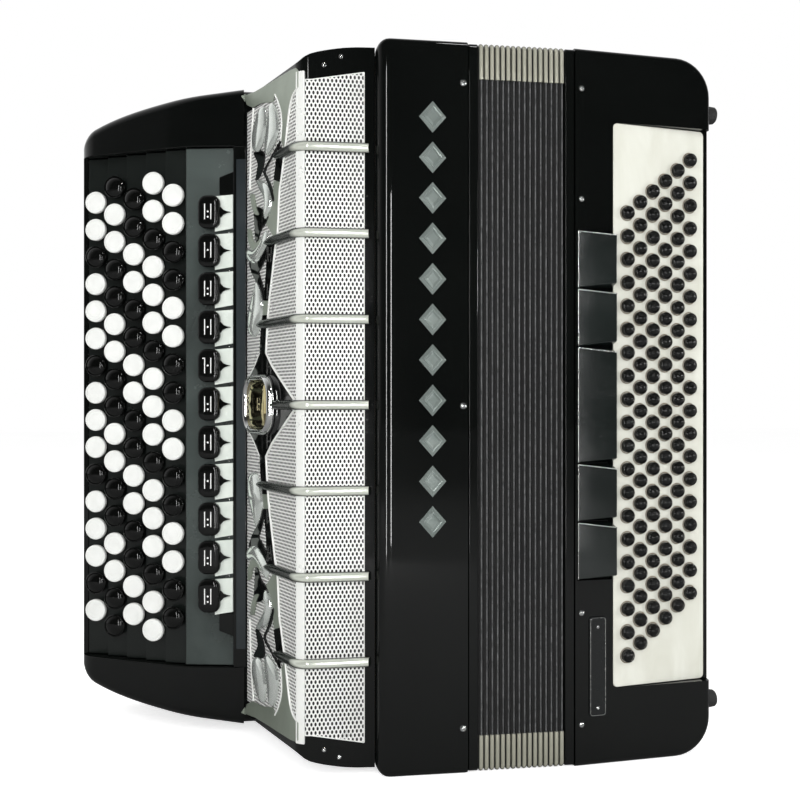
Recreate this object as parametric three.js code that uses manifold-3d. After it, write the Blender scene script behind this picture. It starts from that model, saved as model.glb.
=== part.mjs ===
// Chromatic button accordion: stepped treble keyboard, wrapped grille, folded bellows
// and a bass box with staggered buttons. Lengths are in millimetres.
// X runs from the treble keyboard to the bass end, Y from the front to the player, Z up.
// While it is built, x = 0 is the treble case's bellows rim and y = 0 its front panel.
import * as THREE from 'three';
import { mergeVertices } from 'three/addons/utils/BufferGeometryUtils.js';
import Module from 'manifold-3d';

const wasm = await Module();
wasm.setup();

// Clearance between pieces that touch, and how far a cut runs past a face
const seatGap = 0.3;
const overrun = 4;

// Whole instrument
const caseHeight = 445;
const caseDepth = 200;
const mid = caseHeight / 2;

const trebleCase = { width: 56, wall: 10, corner: 9, edge: 7.5, hollowCorner: 6, soundboard: 8 };

const trebleReeds = { endInset: 47.5, width: 34, height: 38, spread: 76, taperShare: 0.6 };

const bellowsFrame = { length: 6, inset: 1, band: 26, corner: 7 };

const bellows = { folds: 16, pitch: 3.4, inset: 1.5, foldDepth: 18, cloth: 7, corner: 6 };

const grille = {
  setback: 8,
  front: 46,
  side: 91,
  sideTurn: 20.5,
  bend: 10,
  bendFacets: 4,
  depth: 97,
  wall: 4,
  endInset: 8,
  edge: 3.5,
  levelShift: 1.5,
};

const screen = { start: 9, end: 5, inset: 25, cornerDrop: 7, thickness: 1.4 };

const bars = { count: 7, endInset: 67.1, start: 3.5, height: 6, rise: 4, facets: 3, tip: 12, tipShare: 0.3 };

const trim = { width: 5, rise: 2.4, inset: 20.5 };

// The curve on the grille's side that the scrolls and the bars' ends follow
const curve = { crest: 57, fall: 37, runShare: 0.706, power: 1.4, band: 19, barReach: 13 };

// The bars share out the height between the outer two
const barPitch = (caseHeight - 2 * bars.endInset) / (bars.count - 1);
const curveRun = mid * curve.runShare;

const badge = { centre: 58.5, width: 46, height: 39, corner: 15, rim: 4, rise: 5, insertRise: 3 };

const inlay = { plate: 1, tip: 4, crest: 56, half: 30, far: 84 };

const scroll = {
  plate: 1,
  rise: 3,
  bevel: 1.2,
  lowShare: 0.108,
  footShare: 0.791,
  endShare: 0.921,
  outer: 84,
  inner: 10,
  points: 6,
  thinShare: 0.1,
};

// Leaves: how far along the grille's side and up its half height each stands, its length,
// width and lean in degrees
const innerLeaf = { along: 46, aboveShare: 0.8, long: 38, wide: 15, leanTurn: 22 };
const outerLeaf = { along: 64, aboveShare: 0.809, long: 36, wide: 15, leanTurn: 22 };
const lowLeaf = { along: 66, aboveShare: 0.315, long: 46, wide: 17, leanTurn: 12 };

// Horns: crescents about a centre, from one angle to another in degrees
const upperHorn = { along: 44, aboveShare: 0.607, radius: 15, thick: 8, startTurn: -80, endTurn: 100 };
const lowerHorn = { along: 62, aboveShare: 0.503, radius: 13, thick: 7, startTurn: 120, endTurn: 330 };

const keyboard = {
  outer: 247,
  bend: 172,
  blend: 12,
  frontInner: 93.5,
  frontBend: 100,
  frontOuter: 143,
  backInner: 190,
  backOuter: 183,
  endInset: 8.5,
  drop: 28.5,
  dropPower: 1.6,
  edge: 7,
  outerRadius: 10,
  facets: 3,
  stations: 9,
};

const deck = {
  tilt: 20,
  shelfTilt: 12,
  rowSpacing: 16.1,
  step: 3.7,
  innerReach: 46.13,
  innerSetback: 17.76,
  thickness: 8,
  inset: 46.5,
  lip: 8.4,
};

const trebleButton = {
  rows: 5,
  evenCount: 17,
  oddCount: 16,
  endMargin: 22.4,
  radiusShare: 0.401,
  cap: 3,
  lift: 4,
  bevel: 1,
  stem: 3.2,
  stemDepth: 3.4,
  sides: 8,
};

// The fullest row sets the pitch of every row, and the pitch the size of the buttons
const trebleRun = caseHeight - 2 * (deck.inset + trebleButton.endMargin);
const treblePitch = trebleRun / (trebleButton.evenCount - 1);
const trebleRadius = treblePitch * trebleButton.radiusShare;

const register = {
  count: 11,
  endMargin: 17.05,
  levelShift: 1.8,
  padSplit: 3.5,
  padStart: 15,
  padEnd: 30,
  padCorner: 4,
  padLift: 2.4,
  padRise: 6,
  bevel: 0.9,
  plateSplit: 1.4,
  plateEnd: 19,
  plateLift: 3,
  plate: 1.6,
  spikeTip: 8.5,
  spikeWidth: 5.2,
  spikeRise: 1.2,
};

const rail = {
  width: 6,
  rise: 6,
  endInset: 63,
  bevel: 1.5,
  stopReach: 16,
  stopHeight: 12,
  stopInset: 10.5,
  stopRise: 4.5,
};

// The registers share out the rail
const railLength = caseHeight - 2 * rail.endInset;
const registerPitch = (railLength - 2 * register.endMargin) / register.count;

const bracket = {
  centre: 30,
  inset: 24,
  width: 44,
  height: 20,
  plate: 2.5,
  loopWidth: 32,
  reach: 13,
  wire: 1.6,
  bend: 5,
  sides: 6,
  bendFacets: 2,
};

const bassCase = {
  width: 93.6,
  wall: 6,
  edge: 5,
  edgeFacets: 2,
  taper: 10,
  corner: 24,
  cornerFacets: 5,
  hollowFront: 9,
  hollowFrontEnd: 23.5,
  levelShift: 1.3,
  soundboard: 7,
  soundboardInset: 2,
};

const bassReeds = { endInset: 62.5, width: 96, height: 20, taperShare: 0.8 };

const plate = {
  start: 25.6,
  endRim: 2.5,
  endDrop: 15.5,
  thickness: 3,
  endInset: 46.2,
  ledge: 4,
  corner: 3,
  windowDepth: 50,
};

const bassButton = {
  columns: 6,
  count: 20,
  endColumnMargin: 10.9,
  endMargin: 19.35,
  firstColumn: 9.7,
  radiusShare: 0.288,
  rise: 4.2,
  bevel: 1.1,
  depth: 5.5,
  sides: 6,
};

// The columns climb by half a pitch each, so together they need more height than one column
const plateHeight = caseHeight - 2 * plate.endInset;
const columnSteps = bassButton.count - 1 + (bassButton.columns - 1) / 2;
const bassPitch = (plateHeight - 2 * bassButton.endMargin) / columnSteps;
const bassRadius = bassPitch * bassButton.radiusShare;

const bassRegister = {
  runShare: 0.6143,
  gap: 0.7,
  start: 1.6,
  width: 23,
  pocket: 3.2,
  thin: 1,
  thick: 7.5,
  bevel: 3,
  clearance: 2.6,
};

// Heights of the bass registers, counted in units
const registerUnitShares = [1, 1, 2, 1, 1];
const registerUnits = registerUnitShares.reduce((sum, share) => sum + share);
const registerUnit = (plateHeight * bassRegister.runShare) / registerUnits;

const strap = {
  width: 60,
  thickness: 4,
  low: 56,
  endInset: 65,
  landing: 14,
  bulge: 36,
  centre: 134,
  stations: 18,
  turnFacets: 3,
  tuck: 6,
};

const strapHigh = caseHeight - strap.endInset;

const anchor = { width: 72, height: 16, low: 52, rise: 7 };

const wheel = {
  radius: 15,
  height: 7,
  teeth: 18,
  tooth: 0.9,
  axle: 3,
  axleReach: 5,
  axleSides: 12,
  endInset: 39,
  proud: 4.5,
  boss: 7,
};

const wheelLevel = caseHeight - wheel.endInset;

const airButton = { radius: 6, rise: 5, length: 15, setback: 66, endInset: 102, sides: 14, bevel: 1 };

const foot = { radius: 6, tip: 5.2, rise: 8, setback: 21, inset: 32.5, sides: 12, bevel: 1 };

const backCover = { thickness: 2.5, inset: 16, corner: 8, ledge: 5 };

// Small vector helpers
const radians = THREE.MathUtils.degToRad;
const point = (x, y, z) => new THREE.Vector3(x, y, z);
const flat = (x, y) => new THREE.Vector2(x, y);
const up = point(0, 0, 1);
const range = (count) => Array.from({ length: count }, (_, i) => i);
const centred = (index, count) => index - (count - 1) / 2;

// Turns a closed mesh's faces outwards, whichever way its points ran
const facedOut = (geometry) => {
  const { array } = geometry.index;
  const corners = [point(0, 0, 0), point(0, 0, 0), point(0, 0, 0)];
  let volume = 0;
  for (let i = 0; i < array.length; i += 3) {
    corners.forEach((corner, k) => corner.fromBufferAttribute(geometry.attributes.position, array[i + k]));
    volume += corners[0].dot(corners[1].cross(corners[2]));
  }
  if (volume < 0) {
    array.reverse();
  }
  return geometry;
};

// A closed mesh as a solid, for joins and cuts
const toSolid = (geometry) => {
  const bare = geometry.clone();
  bare.deleteAttribute('normal');
  bare.deleteAttribute('uv');
  const merged = mergeVertices(bare);
  const { array } = merged.index;
  const kept = [];
  for (let i = 0; i < array.length; i += 3) {
    const [a, b, c] = array.slice(i, i + 3);
    if (a !== b && b !== c && c !== a) {
      kept.push(a, b, c);
    }
  }
  merged.setIndex(kept);
  const faced = facedOut(merged);
  const vertProperties = new Float32Array(faced.attributes.position.array);
  const triVerts = new Uint32Array(faced.index.array);
  return new wasm.Manifold(new wasm.Mesh({ numProp: 3, vertProperties, triVerts }));
};

const toGeometry = (solid) => {
  const mesh = solid.getMesh();
  const geometry = new THREE.BufferGeometry();
  geometry.setAttribute('position', new THREE.BufferAttribute(mesh.vertProperties, 3));
  geometry.setIndex(new THREE.BufferAttribute(mesh.triVerts, 1));
  geometry.computeVertexNormals();
  return geometry;
};

const joined = (solids) => solids.reduce((sum, solid) => sum.add(solid));
const cutBy = (solid, tools) => tools.reduce((rest, tool) => rest.subtract(tool), solid);

// Rings of points lofted one to the next; a looped loft joins its last ring to its first
const loft = (rings, looped = false) => {
  const count = rings[0].length;
  const indices = [];
  const spans = looped ? rings.length : rings.length - 1;
  for (const i of range(spans)) {
    const here = i * count;
    const next = ((i + 1) % rings.length) * count;
    for (const j of range(count)) {
      const k = (j + 1) % count;
      indices.push(here + j, here + k, next + k, here + j, next + k, next + j);
    }
  }
  if (!looped) {
    const last = (rings.length - 1) * count;
    for (const j of range(count - 2)) {
      indices.push(0, j + 2, j + 1, last, last + j + 1, last + j + 2);
    }
  }
  const positions = rings.flat().flatMap((p) => [p.x, p.y, p.z]);
  const geometry = new THREE.BufferGeometry();
  geometry.setAttribute('position', new THREE.Float32BufferAttribute(positions, 3));
  geometry.setIndex(indices);
  return toSolid(geometry);
};

// Only the corners of an outline: points on a straight stretch are left out
const straightSine = 1e-6;

const cornersOf = (outline) =>
  outline.filter((here, i) => {
    const before = outline.at(i - 1);
    const after = outline[(i + 1) % outline.length];
    const first = here.clone().sub(before).normalize();
    const second = after.clone().sub(here).normalize();
    return Math.abs(first.cross(second)) > straightSine;
  });

// An outline extruded along z, with both rims bevelled if a bevel is given
const extruded = (outline, length, bevel = null) => {
  const shape = new THREE.Shape(cornersOf(outline));
  if (!bevel) {
    return new THREE.ExtrudeGeometry(shape, { depth: length, bevelEnabled: false });
  }
  const geometry = new THREE.ExtrudeGeometry(shape, {
    depth: length - 2 * bevel.size,
    bevelSize: bevel.size,
    bevelThickness: bevel.size,
    bevelOffset: -bevel.size,
    bevelSegments: bevel.facets,
  });
  return geometry.translate(0, 0, bevel.size);
};

const inFrame = (geometry, origin, xAxis, yAxis) => {
  const zAxis = xAxis.clone().cross(yAxis);
  const matrix = new THREE.Matrix4().makeBasis(xAxis, yAxis, zAxis).setPosition(origin);
  return geometry.applyMatrix4(matrix);
};

// Prisms on a plan, through a front view, and along X from an end view
const overPlan = (outline, low, high, bevel = null) =>
  toSolid(extruded(outline, high - low, bevel).translate(0, 0, low));

const throughFront = (outline, near, far, bevel = null) =>
  inFrame(extruded(outline, far - near, bevel), point(0, far, 0), point(1, 0, 0), up);

const alongX = (outline, left, right, bevel = null) =>
  toSolid(inFrame(extruded(outline, right - left, bevel), point(left, 0, 0), point(0, 1, 0), up));

const block = (low, high) => {
  const size = high.clone().sub(low);
  const centre = low.clone().add(high).divideScalar(2);
  return toSolid(new THREE.BoxGeometry(...size.toArray()).translate(...centre.toArray()));
};

// Outlines
const arcPoints = (x, y, radius, from, to, facets) =>
  range(facets + 1).map((i) => {
    const angle = from + ((to - from) * i) / facets;
    return flat(x + radius * Math.cos(angle), y + radius * Math.sin(angle));
  });

const rectangle = (left, low, right, high) => [
  flat(left, low),
  flat(right, low),
  flat(right, high),
  flat(left, high),
];

const roundedRectangle = (left, low, right, high, radius, facets = 3) => {
  const quarter = Math.PI / 2;
  return [
    ...arcPoints(right - radius, high - radius, radius, 0, quarter, facets),
    ...arcPoints(left + radius, high - radius, radius, quarter, 2 * quarter, facets),
    ...arcPoints(left + radius, low + radius, radius, 2 * quarter, 3 * quarter, facets),
    ...arcPoints(right - radius, low + radius, radius, 3 * quarter, 4 * quarter, facets),
  ];
};

// A case's outline seen from its end, drawn in by an inset
const caseOutline = (inset, corner, facets = 3) =>
  roundedRectangle(inset, inset, caseDepth - inset, caseHeight - inset, corner, facets);

// A board is a flat face of the instrument to draw on: u along it, v up from mid height
const makeBoard = (x, y, along, normal) => ({ origin: point(x, y, mid), along, normal });

const spotOn = ({ origin, along, normal }, u, v, out) =>
  origin.clone().addScaledVector(along, u).addScaledVector(up, v).addScaledVector(normal, out);

const plateOn = (board, outline, low, high, bevel = null) => {
  const facesIn = board.along.clone().cross(up).dot(board.normal) < 0;
  const origin = spotOn(board, 0, 0, facesIn ? high : low);
  return toSolid(inFrame(extruded(outline, high - low, bevel), origin, board.along, up));
};

// Boards that carry many buttons are laid out facing straight forward, then swung into place
const facingForward = (x, y, side) => makeBoard(x, y, point(side, 0, 0), point(0, -1, 0));

const swungBoard = ({ origin, along, normal }, swing) => ({
  origin: origin.clone().applyMatrix4(swing),
  along: along.clone().transformDirection(swing),
  normal: normal.clone().transformDirection(swing),
});

const swungSolid = (solid, swing) => toSolid(toGeometry(solid).applyMatrix4(swing));

// A turned piece: pairs of radius and height from its foot to its top, along an axis
const turned = (profile, sides, origin, axis) => {
  const lathe = new THREE.LatheGeometry(profile.map(([r, h]) => flat(r, h)), sides);
  const turn = new THREE.Quaternion().setFromUnitVectors(point(0, 1, 0), axis);
  return toSolid(lathe.applyQuaternion(turn).translate(...origin.toArray()));
};

const pin = (radius, low, high, sides, origin, axis) =>
  turned([[0, low], [radius, low], [radius, high], [0, high]], sides, origin, axis);

const cappedPin = (radius, low, high, bevel, sides, origin, axis) => {
  const profile = [[0, low], [radius, low], [radius, high - bevel], [radius - bevel, high], [0, high]];
  return turned(profile, sides, origin, axis);
};

// Plan of the grille: straight behind the name panel, round the bend, then along the side
const sideAngle = radians(90 - grille.sideTurn);
const bendTangent = grille.bend * Math.tan(sideAngle / 2);
const bendStart = grille.front - bendTangent;
const bendEnd = bendStart + grille.bend * sideAngle;
const sideStart = bendEnd - bendTangent;
const grilleRun = sideStart + grille.side;
const grilleMid = mid + grille.levelShift;

const wrap = (run, out) => {
  const turn = Math.min(Math.max((run - bendStart) / grille.bend, 0), sideAngle);
  const normal = flat(-Math.sin(turn), -Math.cos(turn));
  const along = flat(-Math.cos(turn), Math.sin(turn));
  const place = flat(-trebleCase.width - Math.min(run, bendStart), grille.setback + grille.bend);
  place.addScaledVector(normal, grille.bend + out);
  return run > bendEnd ? place.addScaledVector(along, run - bendEnd) : place;
};

const wrapStations = (from, to) => {
  const step = (bendEnd - bendStart) / grille.bendFacets;
  const bend = range(grille.bendFacets + 1).map((i) => bendStart + step * i);
  return [from, ...bend.filter((run) => run > from && run < to), to];
};

const sideBoard = makeBoard(
  -trebleCase.width - grille.front,
  grille.setback,
  point(-Math.cos(sideAngle), Math.sin(sideAngle), 0),
  point(-Math.sin(sideAngle), -Math.cos(sideAngle), 0),
);

const curveAt = (height) => curve.crest - curve.fall * (Math.abs(height) / curveRun) ** curve.power;

// Places along X from the bellows to the bass end
const bellowsStart = bellowsFrame.length + 2 * seatGap;
const bellowsEnd = bellowsStart + bellows.folds * bellows.pitch;
const bassLeft = bellowsEnd + bellowsFrame.length + 2 * seatGap;
const bassRight = bassLeft + bassCase.width;

// Treble case, the frame that the bellows, the keyboard and the grille are built on
const makeTrebleCase = () => {
  const outer = alongX(caseOutline(0, trebleCase.corner), -trebleCase.width, trebleCase.edge + overrun, {
    size: trebleCase.edge,
    facets: 3,
  });
  const beyond = point(trebleCase.width, caseDepth + overrun, caseHeight + overrun);
  const rim = block(point(0, -overrun, -overrun), beyond);
  const outline = caseOutline(trebleCase.wall, trebleCase.hollowCorner);
  return cutBy(outer, [rim, alongX(outline, -trebleCase.width - overrun, overrun)]);
};

const makeTrebleSoundboard = () => {
  const outline = caseOutline(trebleCase.wall + seatGap, trebleCase.hollowCorner);
  return alongX(outline, -trebleCase.width, -trebleCase.width + trebleCase.soundboard);
};

// A reed block is a tapered chest that stands on its soundboard
const makeReedBlock = (base, reach, centre, reeds) => {
  const ring = (x, share) => {
    const half = (reeds.width / 2) * share;
    const run = (mid - reeds.endInset) * share;
    const outline = rectangle(centre - half, mid - run, centre + half, mid + run);
    return outline.map((p) => point(x, p.x, p.y));
  };
  return loft([ring(base, 1), ring(base + reach, reeds.taperShare)]);
};

const makeTrebleReeds = (side) =>
  makeReedBlock(
    -trebleCase.width + trebleCase.soundboard + seatGap,
    trebleReeds.height,
    caseDepth / 2 + (side * trebleReeds.spread) / 2,
    trebleReeds,
  );

const makeBellowsFrame = (left) => {
  const { length, inset, band, corner } = bellowsFrame;
  const outer = alongX(caseOutline(inset, corner), left, left + length);
  return outer.subtract(alongX(caseOutline(inset + band, corner), left - overrun, left + length + overrun));
};

// Folded bellows: one cloth wall that rises to the edge of every fold and falls back
const makeBellows = () => {
  const last = 2 * bellows.folds;
  const ring = (i, extra) => {
    const inset = bellows.inset + (i % 2 === 0 ? bellows.foldDepth : 0) + extra;
    const x = bellowsStart + (i * bellows.pitch) / 2;
    return caseOutline(inset, bellows.corner, 1).map((p) => point(x, p.x, p.y));
  };
  const outer = range(last + 1).map((i) => ring(i, 0));
  const inner = range(last + 1).map((i) => ring(last - i, bellows.cloth));
  return loft([...outer, ...inner], true);
};

// Grille housing: a moulded cap with one wrapped window for the screen
const makeScreenBand = (from, to, low, high, margin) => {
  const ring = (run) => {
    const drop = screen.cornerDrop * Math.min(run / bendStart, 1);
    const reach = mid - screen.inset + screen.cornerDrop - drop + margin;
    const inner = wrap(run, low);
    const outer = wrap(run, high);
    return [
      point(inner.x, inner.y, mid - reach),
      point(outer.x, outer.y, mid - reach),
      point(outer.x, outer.y, mid + reach),
      point(inner.x, inner.y, mid + reach),
    ];
  };
  return loft(wrapStations(from, to).map(ring));
};

const screenFrom = screen.start;
const screenTo = grilleRun - screen.end;

const housingPlan = (inset, right, back) => {
  const face = wrapStations(seatGap + inset, grilleRun - inset).map((run) => wrap(run, -inset));
  return [flat(right, back), flat(right, face[0].y), ...face, flat(face.at(-1).x, back)];
};

const makeHousing = () => {
  const right = -trebleCase.width - seatGap;
  const low = grille.endInset;
  const high = caseHeight - grille.endInset;
  const plan = housingPlan(0, right + grille.edge, grille.depth + grille.edge);
  const outer = overPlan(plan, low, high, { size: grille.edge, facets: 2 });
  const kept = block(point(-keyboard.outer, 0, 0), point(right, grille.depth, caseHeight));
  const inside = housingPlan(grille.wall, right - grille.wall - seatGap, grille.depth + overrun);
  const skin = grille.edge + grille.wall;
  const hollow = overPlan(inside, low + skin, high - skin);
  const window = makeScreenBand(screenFrom, screenTo, -grille.wall - overrun, overrun, 0);
  return cutBy(outer.intersect(kept), [hollow, window]);
};

const makeScreen = () =>
  makeScreenBand(screenFrom + seatGap, screenTo - seatGap, -screen.thickness, 0, -seatGap);

// Chrome bars: half-round rods that wrap the corner and end in a point on the side
const barLevel = (index) => centred(index, bars.count) * barPitch;

const makeBar = (index, grow = 0) => {
  const level = barLevel(index);
  const atBadge = level === 0;
  const reach = atBadge ? badge.centre - badge.width / 2 - seatGap : curveAt(level) + curve.barReach;
  const last = sideStart + reach + grow;
  const ring = (run, share) =>
    range(bars.facets + 1).map((i) => {
      const angle = (Math.PI * i) / bars.facets;
      const place = wrap(run, seatGap - grow + (bars.rise * share + 2 * grow) * Math.sin(angle));
      const half = (bars.height / 2) * share + grow;
      return point(place.x, place.y, grilleMid + level + half * Math.cos(angle));
    });
  const straight = wrapStations(bars.start - grow, atBadge ? last : last - bars.tip);
  const rings = straight.map((run) => ring(run, 1));
  return loft(atBadge ? rings : [...rings, ring(last, bars.tipShare)]);
};

const makeTrim = () => {
  const middle = (bendStart + bendEnd) / 2;
  const runs = wrapStations(middle - trim.width / 2, middle + trim.width / 2);
  const outer = runs.map((run) => wrap(run, trim.rise));
  const inner = runs.map((run) => wrap(run, seatGap));
  return overPlan([...outer.reverse(), ...inner], trim.inset, caseHeight - trim.inset);
};

const makeGrilleFrame = () => joined([makeTrim(), ...range(bars.count).map((i) => makeBar(i))]);

const barClearances = () => range(bars.count).map((i) => makeBar(i, seatGap));

// The badge: a dark diamond inlay, a bezel on it and a domed insert inside the bezel
const badgeOutline = (inset) =>
  roundedRectangle(
    badge.centre - badge.width / 2 + inset,
    grille.levelShift - badge.height / 2 + inset,
    badge.centre + badge.width / 2 - inset,
    grille.levelShift + badge.height / 2 - inset,
    badge.corner - inset,
  );

const inlayTop = seatGap + inlay.plate;

const inlayOutline = (grow) => [
  flat(inlay.tip - 2 * grow, grille.levelShift),
  flat(inlay.crest, grille.levelShift + inlay.half + 2 * grow),
  flat(inlay.far + 2 * grow, grille.levelShift),
  flat(inlay.crest, grille.levelShift - inlay.half - 2 * grow),
];

const makeInlay = () => cutBy(plateOn(sideBoard, inlayOutline(0), seatGap, inlayTop), barClearances());

const makeBezel = () => {
  const low = inlayTop + seatGap;
  const bevel = { size: badge.rim / 3, facets: 1 };
  const ring = plateOn(sideBoard, badgeOutline(0), low, low + badge.rise, bevel);
  return ring.subtract(plateOn(sideBoard, badgeOutline(badge.rim), 0, low + badge.rise + overrun));
};

const makeBadgeInsert = () => {
  const low = inlayTop + seatGap;
  const bevel = { size: badge.insertRise / 3, facets: 1 };
  return plateOn(sideBoard, badgeOutline(badge.rim + seatGap), low, low + badge.insertRise, bevel);
};

// Scrollwork on the side: leaves and horns that grow from a pierced plate along the curve
const leafOutline = ({ along, aboveShare, long, wide, leanTurn }) =>
  range(2 * scroll.points).map((i) => {
    const angle = (Math.PI * i) / scroll.points;
    const across = (wide / 2) * Math.sin(angle) * Math.abs(Math.sin(angle)) ** (1 / 2);
    const place = flat(across, (long / 2) * Math.cos(angle)).rotateAround(flat(0, 0), radians(leanTurn));
    return place.add(flat(along, mid * aboveShare));
  });

const hornOutline = ({ along, aboveShare, radius, thick, startTurn, endTurn }) => {
  const edge = (i, depth) => {
    const share = i / (scroll.points - 1);
    const angle = radians(startTurn + (endTurn - startTurn) * share);
    const swell = Math.sin(Math.PI * (scroll.thinShare + share * (1 - 2 * scroll.thinShare)));
    const reach = radius - depth * swell;
    return flat(along + reach * Math.cos(angle), mid * aboveShare + reach * Math.sin(angle));
  };
  const outer = range(scroll.points).map((i) => edge(i, 0));
  const inner = range(scroll.points).map((i) => edge(i, thick));
  return [...outer, ...inner.reverse()];
};

const scrollPlate = () => {
  const [low, foot, end] = [scroll.lowShare, scroll.footShare, scroll.endShare].map((share) => mid * share);
  const step = (foot - low) / (scroll.points - 1);
  const heights = range(scroll.points).map((i) => low + step * i);
  const right = heights.map((v) => flat(curveAt(v), v));
  const left = heights.map((v) => flat(curveAt(v) + curve.band, v));
  const head = [
    flat(scroll.inner, foot + curve.band),
    flat(scroll.inner, end),
    flat(scroll.outer, end),
    flat(scroll.outer, end - curve.band / 2),
  ];
  return [...right, ...head, ...left.reverse()];
};

const makeScroll = (side) => {
  const mirrored = (outline) => outline.map((p) => flat(p.x, grille.levelShift + side * p.y));
  const base = plateOn(sideBoard, mirrored(scrollPlate()), seatGap, seatGap + scroll.plate);
  const leaves = [innerLeaf, outerLeaf, lowLeaf].map(leafOutline);
  const horns = [upperHorn, lowerHorn].map(hornOutline);
  const bevel = { size: scroll.bevel, facets: 1 };
  const raised = [...leaves, ...horns].map((outline) =>
    plateOn(sideBoard, mirrored(outline), seatGap, seatGap + scroll.rise, bevel));
  const top = seatGap + scroll.rise + overrun;
  const badgeRoom = plateOn(sideBoard, badgeOutline(-seatGap), 0, top);
  const inlayRoom = plateOn(sideBoard, inlayOutline(seatGap), 0, top);
  return cutBy(joined([base, ...raised]), [badgeRoom, inlayRoom, ...barClearances()]);
};

// Treads of the stepped deck, counted from the outer row, and the shelf for the registers
const junction = wrap(grilleRun, 0);
const deckSwing = new THREE.Matrix4().makeRotationZ(-radians(deck.tilt));
deckSwing.setPosition(junction.x - deck.innerReach, junction.y + deck.innerSetback, 0);

const treadLayout = (row) => {
  const stepsOut = trebleButton.rows - 1 - row;
  return facingForward(-stepsOut * deck.rowSpacing, stepsOut * deck.step, -1);
};

const treadBoard = (row) => swungBoard(treadLayout(row), deckSwing);

const shelfTilt = radians(deck.shelfTilt);
const shelfAlong = point(-Math.cos(shelfTilt), Math.sin(shelfTilt), 0);
const shelfNormal = point(-Math.sin(shelfTilt), -Math.cos(shelfTilt), 0);
const shelfEdge = spotOn(treadBoard(trebleButton.rows - 1), -deck.rowSpacing / 2, 0, deck.step);
const shelfWidth = (junction.x - seatGap - shelfEdge.x) / Math.cos(shelfTilt);
const shelfCorner = shelfEdge.clone().addScaledVector(shelfAlong, -shelfWidth);
const shelfBoard = makeBoard(shelfCorner.x, shelfCorner.y, shelfAlong, shelfNormal);
const shelfLayout = swungBoard(shelfBoard, deckSwing.clone().invert());

const onPlan = (vector) => flat(vector.x, vector.y);

const treadCorners = (row) => {
  const board = treadLayout(row);
  const outer = row === 0 ? deck.lip : deck.rowSpacing / 2;
  return [onPlan(spotOn(board, -deck.rowSpacing / 2, 0, 0)), onPlan(spotOn(board, outer, 0, 0))];
};

// The deck's flat underside, from its outer lip to the grille
const deckBack = (clearance) => {
  const depth = -deck.thickness - clearance;
  const outerBoard = treadLayout(0);
  const innerBoard = treadLayout(trebleButton.rows - 1);
  const inner = spotOn(innerBoard, -deck.rowSpacing / 2, 0, depth);
  const rowStep = outerBoard.origin.clone().sub(innerBoard.origin).divideScalar(trebleButton.rows - 1);
  const rowsOut = trebleButton.rows - 1 + (deck.lip + deck.rowSpacing / 2) / deck.rowSpacing;
  return [inner.clone().addScaledVector(rowStep, rowsOut), inner, spotOn(shelfLayout, 0, 0, depth)];
};

const rowCount = (row) => (row % 2 === 0 ? trebleButton.oddCount : trebleButton.evenCount);
const buttonLevel = (row, index) => centred(index, rowCount(row)) * treblePitch;
const movingButton = (row) => trebleButton.rows + row;

const makeTrebleButton = (row, index) => {
  const { lift, cap, bevel, stem, stemDepth, sides } = trebleButton;
  const top = lift + cap;
  const profile = [
    [0, -stemDepth],
    [stem, -stemDepth],
    [stem, lift],
    [trebleRadius, lift],
    [trebleRadius, top - bevel],
    [trebleRadius - bevel, top],
    [0, top],
  ];
  const board = treadBoard(row);
  return turned(profile, sides, spotOn(board, 0, buttonLevel(row, index), 0), board.normal);
};

const makeFixedButton = (row, index) => {
  const { lift, cap, bevel, sides } = trebleButton;
  const root = -deck.step / 2;
  const top = lift + cap;
  const profile = [[0, root], [trebleRadius, root], [trebleRadius, 0], [trebleRadius - bevel, top], [0, top]];
  const board = treadLayout(row);
  return turned(profile, sides, spotOn(board, 0, buttonLevel(row, index), 0), board.normal);
};

const makeFingerboard = () => {
  const rows = range(trebleButton.rows).reverse();
  const front = rows.flatMap(treadCorners);
  const shelf = [spotOn(shelfLayout, 0, 0, 0), spotOn(shelfLayout, shelfWidth, 0, 0)].map(onPlan);
  const plan = [...shelf, ...front, ...deckBack(0).map(onPlan)];
  const board = overPlan(plan, deck.inset, caseHeight - deck.inset);
  const fixed = rows.flatMap((row) =>
    range(rowCount(row)).filter((i) => i !== movingButton(row)).map((i) => makeFixedButton(row, i)));
  const bores = rows.map((row) => {
    const tread = treadBoard(row);
    const place = spotOn(tread, 0, buttonLevel(row, movingButton(row)), 0);
    const { stem, sides } = trebleButton;
    return pin(stem + seatGap, -deck.thickness - overrun, overrun, sides, place, tread.normal);
  });
  return cutBy(swungSolid(joined([board, ...fixed]), deckSwing), bores);
};

// Keyboard body: lofted from sections that narrow and slope back towards the outer edge
const outerSpan = keyboard.outer + junction.x - seatGap;

const bodyFront = (reach) => {
  const first = (keyboard.frontBend - keyboard.frontInner) / (keyboard.bend + junction.x);
  const second = (keyboard.frontOuter - keyboard.frontBend) / (keyboard.outer - keyboard.bend);
  const past = reach - (keyboard.bend + junction.x);
  const { blend } = keyboard;
  const eased = Math.abs(past) < blend ? (past + blend) ** 2 / (4 * blend) : Math.max(past, 0);
  return keyboard.frontInner + first * reach + (second - first) * eased;
};

const bodySection = (x, front, back, half, inset, edge) =>
  roundedRectangle(front + inset, mid - half + inset, back - inset, mid + half - inset, edge, keyboard.facets)
    .map((p) => point(x, p.x, p.y));

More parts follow.
